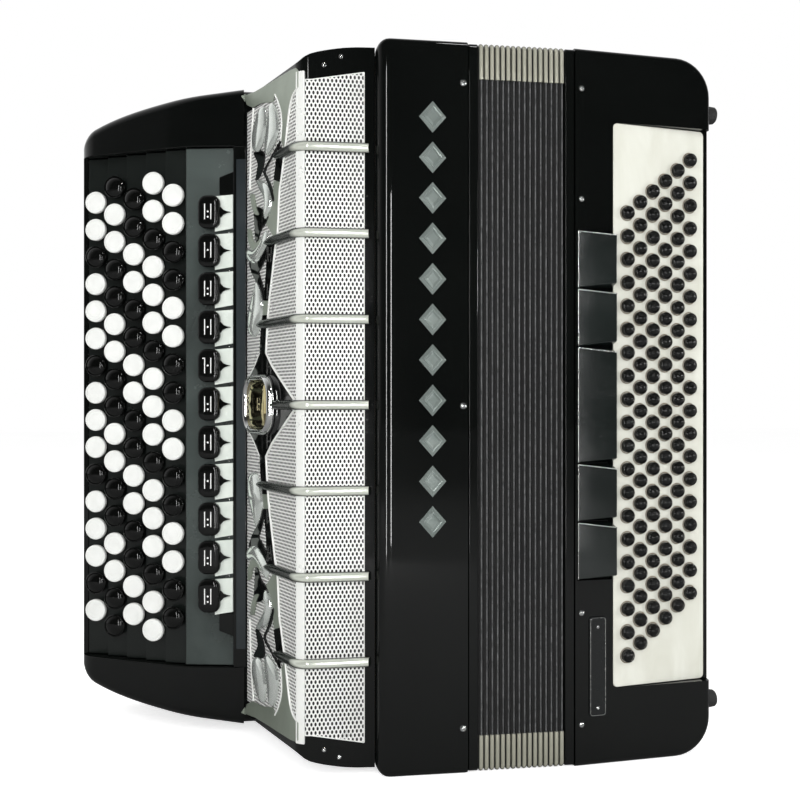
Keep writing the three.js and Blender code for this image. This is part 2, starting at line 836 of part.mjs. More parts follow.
// Room for the deck in the keyboard body, open to the front and past the outer lip
const deckRecess = () => {
  const [outer, inner, corner] = deckBack(seatGap).map((spot) => spot.applyMatrix4(deckSwing));
  const outerTread = treadBoard(0);
  const beyond = spotOn(outerTread, deck.lip + deck.rowSpacing, 0, 0);
  const away = spotOn(shelfBoard, -seatGap, 0, 0);
  return [
    point(away.x, -overrun, 0),
    away,
    corner.addScaledVector(shelfAlong, -seatGap),
    inner,
    outer.addScaledVector(outerTread.along, seatGap),
    spotOn(outerTread, deck.lip + seatGap, 0, 0),
    beyond,
    point(beyond.x, -overrun, 0),
  ].map(onPlan);
};

const makeKeyboardBody = () => {
  const { outerRadius, backInner, backOuter, edge } = keyboard;
  const full = mid - keyboard.endInset;
  const start = junction.x - seatGap;
  const sectionAt = (reach, inset) => {
    const share = reach / outerSpan;
    const back = backInner + (backOuter - backInner) * share;
    const half = full - keyboard.drop * share ** keyboard.dropPower;
    return bodySection(start - reach, bodyFront(reach), back, half, inset, edge - inset / 2);
  };
  const straight = outerSpan - outerRadius;
  const steps = range(keyboard.stations + 1).map((i) => sectionAt((straight * i) / keyboard.stations, 0));
  const turnSteps = range(keyboard.facets).map((i) => {
    const angle = ((Math.PI / 2) * (i + 1)) / keyboard.facets;
    return sectionAt(straight + outerRadius * Math.sin(angle), outerRadius * (1 - Math.cos(angle)));
  });
  const arm = loft([...steps, ...turnSteps]);
  const neckEnds = [-trebleCase.width - seatGap, start - overrun];
  const neck = loft(neckEnds.map((x) => bodySection(x, grille.depth + seatGap, backInner, full, 0, edge)));
  const recessInset = deck.inset - seatGap;
  return arm.add(neck).subtract(overPlan(deckRecess(), recessInset, caseHeight - recessInset));
};

// Registers: a plate hinged at the rail, with a pad and a pointer on it
const hingeReach = seatGap + rail.width + seatGap;
const registerLevel = (index) => register.levelShift + centred(index, register.count) * registerPitch;

const makeRegister = (index) => {
  const level = registerLevel(index);
  const { plateLift, padStart, padEnd, padSplit, plateSplit } = register;
  const padHalf = (registerPitch - padSplit) / 2;
  const plateHalf = (registerPitch - plateSplit) / 2;
  const plateTop = plateLift + register.plate;
  const lever = plateOn(
    shelfBoard,
    rectangle(hingeReach, level - plateHalf, register.plateEnd, level + plateHalf),
    plateLift,
    plateTop,
  );
  const pad = plateOn(
    shelfBoard,
    roundedRectangle(padStart, level - padHalf, padEnd, level + padHalf, register.padCorner, 1),
    register.padLift,
    register.padRise,
    { size: register.bevel, facets: 1 },
  );
  const pointer = [
    flat(padStart + register.bevel, level - register.spikeWidth / 2),
    flat(padStart + register.bevel, level + register.spikeWidth / 2),
    flat(register.spikeTip, level),
  ];
  return joined([lever, pad, plateOn(shelfBoard, pointer, plateLift, plateTop + register.spikeRise)]);
};

const makeRail = () => {
  const low = seatGap;
  const high = seatGap + rail.width;
  const section = [
    [low, seatGap],
    [high, seatGap],
    [high, rail.rise - rail.bevel],
    [high - rail.bevel, rail.rise],
    [low + rail.bevel, rail.rise],
    [low, rail.rise - rail.bevel],
  ].map(([u, out]) => onPlan(spotOn(shelfBoard, u, 0, out)));
  const centre = mid + register.levelShift;
  const rod = overPlan(section, centre - railLength / 2, centre + railLength / 2);
  const stops = [-1, 1].map((side) => {
    const level = register.levelShift + side * (railLength / 2 - rail.stopInset);
    const half = rail.stopHeight / 2;
    const outline = rectangle(rail.width / 2, level - half, rail.stopReach, level + half);
    return plateOn(shelfBoard, outline, seatGap, rail.stopRise);
  });
  return joined([rod, ...stops]);
};

// Shoulder strap bracket: a plate on the back of the case with a wire loop
const makeBracket = (level) => {
  const back = caseDepth + seatGap;
  const { centre, width, height, loopWidth, wire, bend, reach } = bracket;
  const base = block(
    point(-centre - width / 2, back, level - height / 2),
    point(-centre + width / 2, back + bracket.plate, level + height / 2),
  );
  const half = loopWidth / 2;
  const far = back + reach - bend - wire;
  const corner = (side) =>
    range(bracket.bendFacets + 1).map((i) => {
      const angle = ((Math.PI / 2) * i) / bracket.bendFacets;
      const turn = side < 0 ? angle : Math.PI / 2 - angle;
      const place = flat(side * (half - bend + bend * Math.cos(turn)), far + bend * Math.sin(turn));
      return { place, out: flat(side * Math.cos(turn), Math.sin(turn)) };
    });
  const legStart = back + bracket.plate / 2;
  const path = [
    { place: flat(-half, legStart), out: flat(-1, 0) },
    ...corner(-1),
    ...corner(1),
    { place: flat(half, legStart), out: flat(1, 0) },
  ];
  const rings = path.map(({ place, out }) =>
    range(bracket.sides).map((i) => {
      const angle = (2 * Math.PI * i) / bracket.sides;
      const spot = place.clone().addScaledVector(out, wire * Math.cos(angle));
      return point(spot.x - centre, spot.y, level + wire * Math.sin(angle));
    }));
  return base.add(loft(rings));
};

// Boards of the bass box: its tapered front, the sunk button plate and the end face
const taperAngle = Math.atan(bassCase.taper / bassCase.width);
const frontBoard = makeBoard(
  bassLeft,
  0,
  point(Math.cos(taperAngle), Math.sin(taperAngle), 0),
  point(Math.sin(taperAngle), -Math.cos(taperAngle), 0),
);
const frontAt = (reach) => (bassCase.taper * reach) / bassCase.width;
const plateAngle = Math.atan((plate.endDrop - frontAt(plate.start)) / (bassCase.width - plate.start));
const plateSwing = new THREE.Matrix4().makeRotationZ(plateAngle);
plateSwing.setPosition(bassLeft + plate.start, frontAt(plate.start), 0);
const plateLayout = facingForward(0, 0, 1);
const plateBoard = swungBoard(plateLayout, plateSwing);
const plateRun = (bassCase.width - plate.start - plate.endRim) / Math.cos(plateAngle);
const columnRun = plateRun - bassButton.firstColumn - bassButton.endColumnMargin;
const columnSpacing = columnRun / (bassButton.columns - 1);
const endBoard = makeBoard(bassRight, 0, point(0, 1, 0), point(1, 0, 0));

const plateOutline = (grow) => {
  const half = plateHeight / 2 + grow;
  const level = bassCase.levelShift;
  return roundedRectangle(-grow, level - half, plateRun + grow, level + half, plate.corner);
};

// The bass box seen from the front, drawn in by an inset; its bellows side runs on past the rim
const boxOutline = (inset) => {
  const left = bassLeft - bassCase.edge - overrun;
  const radius = bassCase.corner - inset;
  const x = bassRight - bassCase.corner;
  const quarter = Math.PI / 2;
  return [
    flat(left, inset),
    ...arcPoints(x, bassCase.corner, radius, -quarter, 0, bassCase.cornerFacets),
    ...arcPoints(x, caseHeight - bassCase.corner, radius, 0, quarter, bassCase.cornerFacets),
    flat(left, caseHeight - inset),
  ];
};

// Leans the front of the box back towards its end
const tapered = (geometry) => {
  const { position } = geometry.attributes;
  for (const i of range(position.count)) {
    const lean = frontAt(position.getX(i) - bassLeft) * (1 - position.getY(i) / caseDepth);
    position.setY(i, position.getY(i) + lean);
  }
  return geometry;
};

const hollowFrontAt = (reach) =>
  bassCase.hollowFront + ((bassCase.hollowFrontEnd - bassCase.hollowFront) * reach) / bassCase.width;

const wheelCentre = point(bassRight + wheel.proud - wheel.radius, strap.centre, wheelLevel);
const wheelAxle = wheel.height / 2 + wheel.axleReach;

const makeBassHollow = () => {
  const inner = bassRight - bassCase.wall;
  const back = caseDepth - bassCase.wall;
  const plan = [
    flat(bassLeft - overrun, hollowFrontAt(-overrun)),
    flat(inner, hollowFrontAt(inner - bassLeft)),
    flat(inner, back),
    flat(bassLeft - overrun, back),
  ];
  const shell = toSolid(throughFront(boxOutline(bassCase.wall), 0, caseDepth));
  const reach = wheel.radius + wheel.boss;
  const height = wheelAxle + wheel.boss / 2;
  const boss = block(
    point(wheelCentre.x - reach, wheelCentre.y - reach, wheelLevel - height),
    point(bassRight, wheelCentre.y + reach, wheelLevel + height),
  );
  return overPlan(plan, 0, caseHeight).intersect(shell).subtract(boss);
};

// Everything in front of the button plate's plane, over the plate's height
const makeSunkFront = () => {
  const level = mid + bassCase.levelShift;
  const half = plateHeight / 2 + seatGap;
  const { origin } = plateBoard;
  const beyond = spotOn(plateBoard, plateRun + plate.start, 0, 0);
  const plan = [origin, beyond, point(beyond.x, -overrun, 0), point(origin.x, -overrun, 0)].map(onPlan);
  return overPlan(plan, level - half, level + half);
};

const makeRegisterPocket = () => {
  const { start, width, pocket } = bassRegister;
  const half = (registerUnits * registerUnit) / 2 + seatGap;
  const level = bassCase.levelShift;
  const outline = rectangle(start - seatGap, level - half, start + width + seatGap, level + half);
  return plateOn(frontBoard, outline, -pocket, overrun);
};

const makeWheelRoom = () => {
  const half = wheel.height / 2 + seatGap;
  const axleHalf = wheelAxle + seatGap;
  const disc = pin(wheel.radius + seatGap, -half, half, wheel.teeth, wheelCentre, up);
  return disc.add(pin(wheel.axle + seatGap, -axleHalf, axleHalf, wheel.axleSides, wheelCentre, up));
};

const makeStrapSlot = () => {
  const half = strap.width / 2 + seatGap;
  const top = strapHigh + strap.thickness + 2 * seatGap;
  return block(
    point(bassRight - bassCase.wall - overrun, strap.centre - half, strapHigh),
    point(bassRight + overrun, strap.centre + half, top),
  );
};

const airSpot = spotOn(endBoard, airButton.setback, mid - airButton.endInset, 0);

const makeAirBore = () => {
  const { radius, length, sides } = airButton;
  return pin(radius + seatGap, -length, overrun, sides, airSpot, endBoard.normal);
};

const coverOutline = (grow) => {
  const inset = backCover.inset - grow;
  return roundedRectangle(bassLeft + inset, inset, bassRight - inset, caseHeight - inset, backCover.corner);
};

const makeBackCover = () => {
  const inner = caseDepth - backCover.thickness;
  return toSolid(throughFront(coverOutline(0), inner, caseDepth));
};

// The cover sits in a shallow seat round a smaller opening
const makeCoverRoom = () => {
  const seatFace = caseDepth - backCover.thickness - seatGap;
  const seat = toSolid(throughFront(coverOutline(seatGap), seatFace, caseDepth + overrun));
  const opening = throughFront(coverOutline(-backCover.ledge), caseDepth - 2 * bassCase.wall, caseDepth);
  return seat.add(toSolid(opening));
};

const makeBassCase = () => {
  const bevel = { size: bassCase.edge, facets: bassCase.edgeFacets };
  const outer = toSolid(tapered(throughFront(boxOutline(0), 0, caseDepth, bevel)));
  const beyond = point(bassLeft, caseDepth + overrun, caseHeight + overrun);
  const rim = block(point(bassLeft - bassCase.width, -overrun, -overrun), beyond);
  const seat = plateOn(plateBoard, plateOutline(seatGap), -plate.thickness - seatGap, overrun);
  const window = plateOn(plateBoard, plateOutline(-plate.ledge), -plate.windowDepth, overrun);
  return cutBy(outer, [
    rim,
    makeBassHollow(),
    makeSunkFront(),
    seat,
    window,
    makeRegisterPocket(),
    makeWheelRoom(),
    makeStrapSlot(),
    makeAirBore(),
    makeCoverRoom(),
  ]);
};

const makeBassSoundboard = () => {
  const left = bassLeft + bassCase.soundboardInset;
  const right = left + bassCase.soundboard;
  const inset = bassCase.wall + seatGap;
  const front = hollowFrontAt(right - bassLeft) + seatGap;
  return alongX(rectangle(front, inset, caseDepth - inset, caseHeight - inset), left, right);
};

const makeBassReeds = () =>
  makeReedBlock(bassLeft + bassCase.soundboardInset - seatGap, -bassReeds.height, caseDepth / 2, bassReeds);

// Bass buttons in columns, each half a pitch above the one before
const bassSpot = (board, column, index) => {
  const u = bassButton.firstColumn + column * columnSpacing;
  const steps = centred(index, bassButton.count) + centred(column, bassButton.columns) / 2;
  return spotOn(board, u, bassCase.levelShift + steps * bassPitch, 0);
};

const movingBassButton = (column) => bassButton.columns + column;

const makeBassButton = (board, column, index, root) => {
  const { rise, bevel, sides } = bassButton;
  const profile = [[0, root], [bassRadius, root], [bassRadius, 0], [bassRadius - bevel, rise], [0, rise]];
  return turned(profile, sides, bassSpot(board, column, index), board.normal);
};

const makeButtonPlate = () => {
  const { sides, columns, count } = bassButton;
  const sheet = plateOn(plateLayout, plateOutline(0), -plate.thickness, 0);
  const fixed = range(columns).flatMap((column) =>
    range(count)
      .filter((i) => i !== movingBassButton(column))
      .map((i) => makeBassButton(plateLayout, column, i, -plate.thickness / 2)));
  const bores = range(columns).map((column) => {
    const spot = bassSpot(plateBoard, column, movingBassButton(column));
    return pin(bassRadius + seatGap, -plate.thickness - overrun, overrun, sides, spot, plateBoard.normal);
  });
  return cutBy(swungSolid(joined([sheet, ...fixed]), plateSwing), bores);
};

// Bass register: a wedge that is hinged at the bellows side and stands proud at the plate
const makeBassRegister = (index) => {
  const { start, width, pocket, thin, thick, bevel, clearance, gap } = bassRegister;
  const before = registerUnitShares.slice(0, index).reduce((sum, share) => sum + share, 0);
  const units = registerUnitShares[index];
  const level = bassCase.levelShift + (before + units / 2 - registerUnits / 2) * registerUnit;
  const half = (units * registerUnit - gap) / 2;
  const ring = (u, low, high, topHalf) => [
    spotOn(frontBoard, u, level - half, low),
    spotOn(frontBoard, u, level + half, low),
    spotOn(frontBoard, u, level + topHalf, high),
    spotOn(frontBoard, u, level - topHalf, high),
  ];
  const left = ring(start, seatGap - pocket, thin, half - gap / 2);
  const right = ring(start + width, clearance - pocket, thick, half - bevel);
  return loft([left, right]);
};

// Hand strap: flat under its anchor, arched over the hand, and tucked into a slot below the wheel
const makeStrap = () => {
  const rest = seatGap + strap.thickness / 2;
  const start = strap.low + strap.landing;
  const run = strapHigh - start;
  const arch = range(strap.stations + 1).map((i) => {
    const phase = (2 * Math.PI * i) / strap.stations;
    const slope = (strap.bulge / 2) * Math.sin(phase) * ((2 * Math.PI) / run);
    const rise = (strap.bulge / 2) * (1 - Math.cos(phase));
    const place = flat(bassRight + rest + rise, start + (run * i) / strap.stations);
    return { place, normal: flat(1, -slope).normalize() };
  });
  const turn = range(strap.turnFacets).map((i) => {
    const angle = ((Math.PI / 2) * (i + 1)) / strap.turnFacets;
    const normal = flat(Math.cos(angle), Math.sin(angle));
    return { place: flat(bassRight, strapHigh).addScaledVector(normal, rest), normal };
  });
  const tail = { place: flat(bassRight + rest, strap.low), normal: flat(1, 0) };
  const tuck = { place: flat(bassRight - strap.tuck, strapHigh + rest), normal: flat(0, 1) };
  const rings = [tail, ...arch, ...turn, tuck].map(({ place, normal }) => {
    const inner = place.clone().addScaledVector(normal, -strap.thickness / 2);
    const outer = place.clone().addScaledVector(normal, strap.thickness / 2);
    const near = strap.centre - strap.width / 2;
    const far = strap.centre + strap.width / 2;
    return [
      point(inner.x, near, inner.y),
      point(outer.x, near, outer.y),
      point(outer.x, far, outer.y),
      point(inner.x, far, inner.y),
    ];
  });
  return loft(rings);
};

const makeAnchor = () => {
  const near = strap.centre - anchor.width / 2;
  const far = strap.centre + anchor.width / 2;
  const bridge = block(
    point(bassRight + seatGap, near, anchor.low),
    point(bassRight + anchor.rise, far, anchor.low + anchor.height),
  );
  const slot = block(
    point(bassRight - overrun, strap.centre - strap.width / 2 - seatGap, strap.low - seatGap),
    point(
      bassRight + strap.thickness + 2 * seatGap,
      strap.centre + strap.width / 2 + seatGap,
      anchor.low + anchor.height + overrun,
    ),
  );
  return bridge.subtract(slot);
};

const makeWheel = () => {
  const outline = range(2 * wheel.teeth).map((i) => {
    const radius = i % 2 === 0 ? wheel.radius : wheel.radius - wheel.tooth;
    const angle = (Math.PI * i) / wheel.teeth;
    return flat(wheelCentre.x + radius * Math.cos(angle), wheelCentre.y + radius * Math.sin(angle));
  });
  const disc = overPlan(outline, wheelLevel - wheel.height / 2, wheelLevel + wheel.height / 2);
  return disc.add(pin(wheel.axle, -wheelAxle, wheelAxle, wheel.axleSides, wheelCentre, up));
};

const makeAirButton = () => {
  const { radius, rise, length, bevel, sides } = airButton;
  return cappedPin(radius, rise - length, rise, bevel, sides, airSpot, endBoard.normal);
};

const makeFoot = (y, z) => {
  const { radius, tip, rise, bevel, sides } = foot;
  const profile = [[0, seatGap], [radius, seatGap], [tip, rise - bevel], [tip - bevel, rise], [0, rise]];
  return turned(profile, sides, spotOn(endBoard, y, z - mid, 0), endBoard.normal);
};

// Surfaces
const materials = {
  blackLacquer: { color: 0x101112, roughness: 0.12, metalness: 0 },
  blackPlastic: { color: 0x17181a, roughness: 0.28, metalness: 0 },
  chrome: { color: 0xd8dadb, roughness: 0.08, metalness: 1 },
  satinSteel: { color: 0xc9cccb, roughness: 0.32, metalness: 1 },
  whitePearl: { color: 0xf3f2ea, roughness: 0.2, metalness: 0 },
  cream: { color: 0xeeebdd, roughness: 0.35, metalness: 0 },
  mirror: { color: 0xb9a874, roughness: 0.03, metalness: 1 },
  cloth: { color: 0x2a2a2c, roughness: 0.8, metalness: 0 },
  leather: { color: 0x1b1917, roughness: 0.6, metalness: 0 },
  rubber: { color: 0x1c1c1c, roughness: 0.85, metalness: 0 },
  wood: { color: 0xc39b68, roughness: 0.6, metalness: 0 },
};

const accordion = new THREE.Group();

const addPiece = (name, solid, surface) => {
  const material = new THREE.MeshStandardMaterial({ name: surface, ...materials[surface] });
  const mesh = new THREE.Mesh(toGeometry(solid), material);
  mesh.name = name;
  accordion.add(mesh);
};

const rowColours = ['blackPlastic', 'whitePearl', 'blackPlastic', 'whitePearl', 'blackPlastic'];
const footHeights = [foot.inset, caseHeight - foot.inset];
const footDepths = [foot.setback, caseDepth - foot.setback];

addPiece('treble_case', makeTrebleCase(), 'blackLacquer');
addPiece('treble_soundboard', makeTrebleSoundboard(), 'wood');
addPiece('treble_reeds_front', makeTrebleReeds(-1), 'wood');
addPiece('treble_reeds_back', makeTrebleReeds(1), 'wood');
addPiece('treble_bellows_frame', makeBellowsFrame(seatGap), 'blackLacquer');
addPiece('bellows', makeBellows(), 'cloth');
addPiece('grille_housing', makeHousing(), 'blackLacquer');
addPiece('grille_screen', makeScreen(), 'satinSteel');
addPiece('grille_bars', makeGrilleFrame(), 'chrome');
addPiece('grille_inlay', makeInlay(), 'blackPlastic');
addPiece('scroll_upper', makeScroll(1), 'satinSteel');
addPiece('scroll_lower', makeScroll(-1), 'satinSteel');
addPiece('badge_bezel', makeBezel(), 'chrome');
addPiece('badge_insert', makeBadgeInsert(), 'mirror');
addPiece('keyboard_body', makeKeyboardBody(), 'blackLacquer');
addPiece('fingerboard', makeFingerboard(), 'blackPlastic');
addPiece('register_rail', makeRail(), 'blackPlastic');
addPiece('strap_bracket_upper', makeBracket(caseHeight - bracket.inset), 'chrome');
addPiece('strap_bracket_lower', makeBracket(bracket.inset), 'chrome');
for (const i of range(register.count)) {
  addPiece(`treble_register_${i + 1}`, makeRegister(i), 'blackPlastic');
}
for (const row of range(trebleButton.rows)) {
  addPiece(`treble_button_row_${row + 1}`, makeTrebleButton(row, movingButton(row)), rowColours[row]);
}
addPiece('bass_bellows_frame', makeBellowsFrame(bellowsEnd + seatGap), 'blackLacquer');
addPiece('bass_case', makeBassCase(), 'blackLacquer');
addPiece('bass_soundboard', makeBassSoundboard(), 'wood');
addPiece('bass_reeds', makeBassReeds(), 'wood');
addPiece('bass_button_plate', makeButtonPlate(), 'cream');
addPiece('bass_back_cover', makeBackCover(), 'blackPlastic');
for (const i of range(registerUnitShares.length)) {
  addPiece(`bass_register_${i + 1}`, makeBassRegister(i), 'blackPlastic');
}
for (const column of range(bassButton.columns)) {
  const button = makeBassButton(plateBoard, column, movingBassButton(column), -bassButton.depth);
  addPiece(`bass_button_column_${column + 1}`, button, 'blackPlastic');
}
addPiece('bass_strap', makeStrap(), 'leather');
addPiece('strap_anchor', makeAnchor(), 'blackPlastic');
addPiece('strap_wheel', makeWheel(), 'blackPlastic');
addPiece('air_button', makeAirButton(), 'chrome');
footDepths.forEach((y, j) => {
  footHeights.forEach((z, i) => {
    addPiece(`bass_foot_${2 * j + i + 1}`, makeFoot(y, z), 'rubber');
  });
});

// The finished instrument stands with the middle of its base at the origin
const bounds = new THREE.Box3().setFromObject(accordion);
const centre = bounds.getCenter(point(0, 0, 0));
accordion.position.set(-centre.x, -centre.y, -bounds.min.z);

export default accordion;
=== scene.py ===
# Chromatic button accordion: the visible pieces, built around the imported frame.
# Everything is drawn in millimetres from the treble case's bellows rim and moved into the frame at the end.
import math
import bpy
from mathutils import Matrix, Vector


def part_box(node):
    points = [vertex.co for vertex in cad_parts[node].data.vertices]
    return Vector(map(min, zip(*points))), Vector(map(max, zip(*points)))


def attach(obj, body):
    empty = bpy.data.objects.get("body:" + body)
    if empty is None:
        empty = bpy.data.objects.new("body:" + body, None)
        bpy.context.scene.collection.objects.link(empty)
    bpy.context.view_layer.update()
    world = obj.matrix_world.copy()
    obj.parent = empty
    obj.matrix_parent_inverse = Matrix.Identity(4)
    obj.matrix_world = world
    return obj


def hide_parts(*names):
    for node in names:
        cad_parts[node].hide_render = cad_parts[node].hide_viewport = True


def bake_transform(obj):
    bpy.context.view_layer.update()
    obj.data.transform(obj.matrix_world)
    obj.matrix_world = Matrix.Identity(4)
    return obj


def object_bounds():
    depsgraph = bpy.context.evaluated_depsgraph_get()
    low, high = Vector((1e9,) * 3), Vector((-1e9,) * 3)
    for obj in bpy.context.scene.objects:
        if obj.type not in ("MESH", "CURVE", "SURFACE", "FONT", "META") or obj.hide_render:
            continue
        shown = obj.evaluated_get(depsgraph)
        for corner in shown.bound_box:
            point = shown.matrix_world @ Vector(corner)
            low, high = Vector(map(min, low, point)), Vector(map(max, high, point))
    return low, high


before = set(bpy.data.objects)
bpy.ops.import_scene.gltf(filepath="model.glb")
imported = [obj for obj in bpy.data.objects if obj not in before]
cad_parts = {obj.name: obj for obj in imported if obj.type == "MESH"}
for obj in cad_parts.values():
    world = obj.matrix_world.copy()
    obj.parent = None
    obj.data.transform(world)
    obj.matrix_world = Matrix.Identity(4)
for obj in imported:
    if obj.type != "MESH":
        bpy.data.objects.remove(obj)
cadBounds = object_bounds()
print("frame loaded,", len(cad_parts), "nodes")

mm = 0.001
rimLow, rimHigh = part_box("treble_case")
origin = Vector((rimHigh.x, rimLow.y, 0))
toFrame = Matrix.Translation(origin) @ Matrix.Scale(mm, 4)

body = {"height": 445, "depth": 200, "mid": 222.5}


# small modelling helpers

def cosine(degrees):
    return math.cos(math.radians(degrees))


def sine(degrees):
    return math.sin(math.radians(degrees))


def deselect():
    if bpy.context.object and bpy.context.object.mode != "OBJECT":
        bpy.ops.object.mode_set(mode="OBJECT")
    bpy.ops.object.select_all(action="DESELECT")


def activate(piece):
    deselect()
    piece.select_set(True)
    bpy.context.view_layer.objects.active = piece
    return piece


def editMode(piece, kind="FACE"):
    activate(piece)
    bpy.context.tool_settings.mesh_select_mode = (kind == "VERT", kind == "EDGE", kind == "FACE")
    bpy.ops.object.mode_set(mode="EDIT")


def objectMode():
    bpy.ops.object.mode_set(mode="OBJECT")


def insetPicked(steps):
    for thickness, depth in steps:
        bpy.ops.mesh.inset(thickness=thickness, depth=depth)
    objectMode()


def pickOnly(piece, kind, chosen):
    for items in (piece.data.vertices, piece.data.edges, piece.data.polygons):
        items.foreach_set("select", [False] * len(items))
    for item in chosen:
        item.select = True
    editMode(piece, kind)


def pickTop(piece):
    pickOnly(piece, "FACE", [face for face in piece.data.polygons if face.normal.z > 0.9])


def pickEdges(piece, test):
    ends = piece.data.vertices
    pickOnly(piece, "EDGE", [edge for edge in piece.data.edges if test(*(ends[i].co for i in edge.vertices))])


def bevelPicked(piece, offset, segments):
    bpy.ops.mesh.bevel(offset=offset, segments=segments, affect="EDGES", clamp_overlap=True)
    objectMode()
    return piece


def turnOutward(piece, merge=0.002):
    editMode(piece)
    bpy.ops.mesh.select_all(action="SELECT")
    bpy.ops.mesh.remove_doubles(threshold=merge)
    bpy.ops.mesh.dissolve_degenerate(threshold=merge / 4)
    bpy.ops.mesh.select_all(action="SELECT")
    bpy.ops.mesh.normals_make_consistent(inside=False)
    objectMode()
    return piece


def applyModifier(piece, kind, **settings):
    activate(piece)
    modifier = piece.modifiers.new(kind.lower(), kind)
    for key, value in settings.items():
        setattr(modifier, key, value)
    bpy.ops.object.modifier_apply(modifier=modifier.name)
    return piece


def softenEdges(piece, width, segments=3, angle=35):
    return applyModifier(piece, "BEVEL", width=width, segments=segments, limit_method="ANGLE",
                         angle_limit=math.radians(angle), use_clamp_overlap=True)


def cutAway(piece, *cutters):
    for cutter in cutters:
        applyModifier(piece, "BOOLEAN", object=cutter, operation="DIFFERENCE", solver="EXACT")
        bpy.data.objects.remove(cutter)
    return piece


def blockPiece(low, high):
    low, high = Vector(low), Vector(high)
    deselect()
    bpy.ops.mesh.primitive_cube_add(size=1, location=(low + high) / 2)
    piece = bpy.context.object
    piece.scale = high - low
    bpy.ops.object.transform_apply(location=True, rotation=True, scale=True)
    return piece


def outlineSolid(outline, low, high):
    deselect()
    bpy.ops.mesh.primitive_circle_add(vertices=len(outline), radius=1, fill_type="NGON")
    piece = bpy.context.object
    for vertex, (x, y) in zip(piece.data.vertices, outline):
        vertex.co = (x, y, low)
    editMode(piece)
    bpy.ops.mesh.select_all(action="SELECT")
    bpy.ops.mesh.extrude_region_move(TRANSFORM_OT_translate={"value": (0, 0, high - low)})
    bpy.ops.mesh.select_all(action="SELECT")
    bpy.ops.mesh.normals_make_consistent(inside=False)
    objectMode()
    return piece


def turnedPiece(profile, steps=32):
    deselect()      # a closed half section, from its foot to its top, spun about Z
    bpy.ops.mesh.primitive_circle_add(vertices=len(profile), radius=1, fill_type="NOTHING")
    piece = bpy.context.object
    for vertex, (radius, height) in zip(piece.data.vertices, profile):
        vertex.co = (radius, 0, height)
    editMode(piece, "VERT")
    bpy.ops.mesh.select_all(action="SELECT")
    bpy.ops.mesh.spin(steps=steps, angle=2 * math.pi, center=(0, 0, 0), axis=(0, 0, 1))
    objectMode()
    return turnOutward(piece)


def loftPiece(rings, looped=False, caps=True):
    deselect()      # a grid whose rows are the rings
    if looped:
        rings = rings + rings[:1]
    around = len(rings[0])
    bpy.ops.mesh.primitive_grid_add(x_subdivisions=around, y_subdivisions=len(rings) - 1, size=1)
    piece = bpy.context.object
    for row, ring in enumerate(rings):
        for column in range(around + 1):
            piece.data.vertices[row * (around + 1) + column].co = ring[column % around]
    editMode(piece, "VERT")
    bpy.ops.mesh.select_all(action="SELECT")
    bpy.ops.mesh.remove_doubles(threshold=0.0005)
    if caps and not looped:
        bpy.ops.mesh.select_all(action="DESELECT")
        bpy.ops.mesh.select_non_manifold(extend=False, use_wire=False, use_boundary=True,
                                         use_multi_face=False, use_non_contiguous=False, use_verts=False)
        bpy.ops.mesh.edge_face_add()
    objectMode()
    return turnOutward(piece, 0.0005)


def tubePiece(paths, radius, closed=False, tips=None, resolution=2):
    deselect()
    bpy.ops.curve.primitive_bezier_curve_add()
    piece = bpy.context.object
    curve = piece.data
    curve.splines.clear()
    for path in paths:
        spline = curve.splines.new("POLY")
        spline.points.add(len(path) - 1)
        for i, spot in enumerate(path):
            spline.points[i].co = (*spot, 1)
            spline.points[i].radius = tips[i] if tips else 1
        spline.use_cyclic_u = closed
    curve.dimensions = "3D"
    curve.twist_mode = "MINIMUM"
    curve.bevel_depth = radius
    curve.bevel_resolution = resolution
    curve.use_fill_caps = not closed
    bpy.ops.object.convert(target="MESH")
    return bpy.context.object


def copyOf(piece, matrix):
    copy = piece.copy()
    copy.data = piece.data.copy()
    bpy.context.scene.collection.objects.link(copy)
    copy.data.transform(matrix)
    return copy


def joined(pieces):
    activate(pieces[0])
    for piece in pieces[1:]:
        piece.select_set(True)
    if len(pieces) > 1:
        bpy.ops.object.join()
    return bpy.context.object


def copies(piece, matrices):
    made = [copyOf(piece, matrix) for matrix in matrices]
    bpy.data.objects.remove(piece)
    return joined(made)


def placed(piece, matrix):
    piece.data.transform(matrix)
    return turnOutward(piece) if matrix.determinant() < 0 else piece


def finishPiece(piece, name, rides, material, angle=35, outward=True, replaces=(), flats=True):
    activate(piece)
    bpy.ops.object.transform_apply(location=True, rotation=True, scale=True)
    if outward:
        turnOutward(piece)
    piece.data.transform(toFrame)
    activate(piece)
    bpy.ops.object.shade_smooth_by_angle(angle=math.radians(angle))
    if flats:
        applyModifier(piece, "WEIGHTED_NORMAL", keep_sharp=True, weight=80)
    piece.data.materials.clear()
    piece.data.materials.append(material)
    piece.name = name
    piece.data.name = name
    if rides:
        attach(piece, rides)
    if replaces:
        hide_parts(*replaces)
    return piece


def smoothOutline(points, per=5, closed=True):
    spots = [Vector(p) for p in points]       # a curve through every point
    count = len(spots)
    made = []
    for i in range(count if closed else count - 1):
        a, b, c, d = (spots[(i + k) % count] if closed else spots[min(max(i + k, 0), count - 1)]
                      for k in (-1, 0, 1, 2))
        for step in range(per):
            t = step / per
            made.append(0.5 * (2 * b + (c - a) * t + (2 * a - 5 * b + 4 * c - d) * t * t
                               + (3 * b - a - 3 * c + d) * t ** 3))
    if not closed:
        made.append(spots[-1])
    return made


def rectangle(left, low, right, high):
    return [(left, low), (right, low), (right, high), (left, high)]


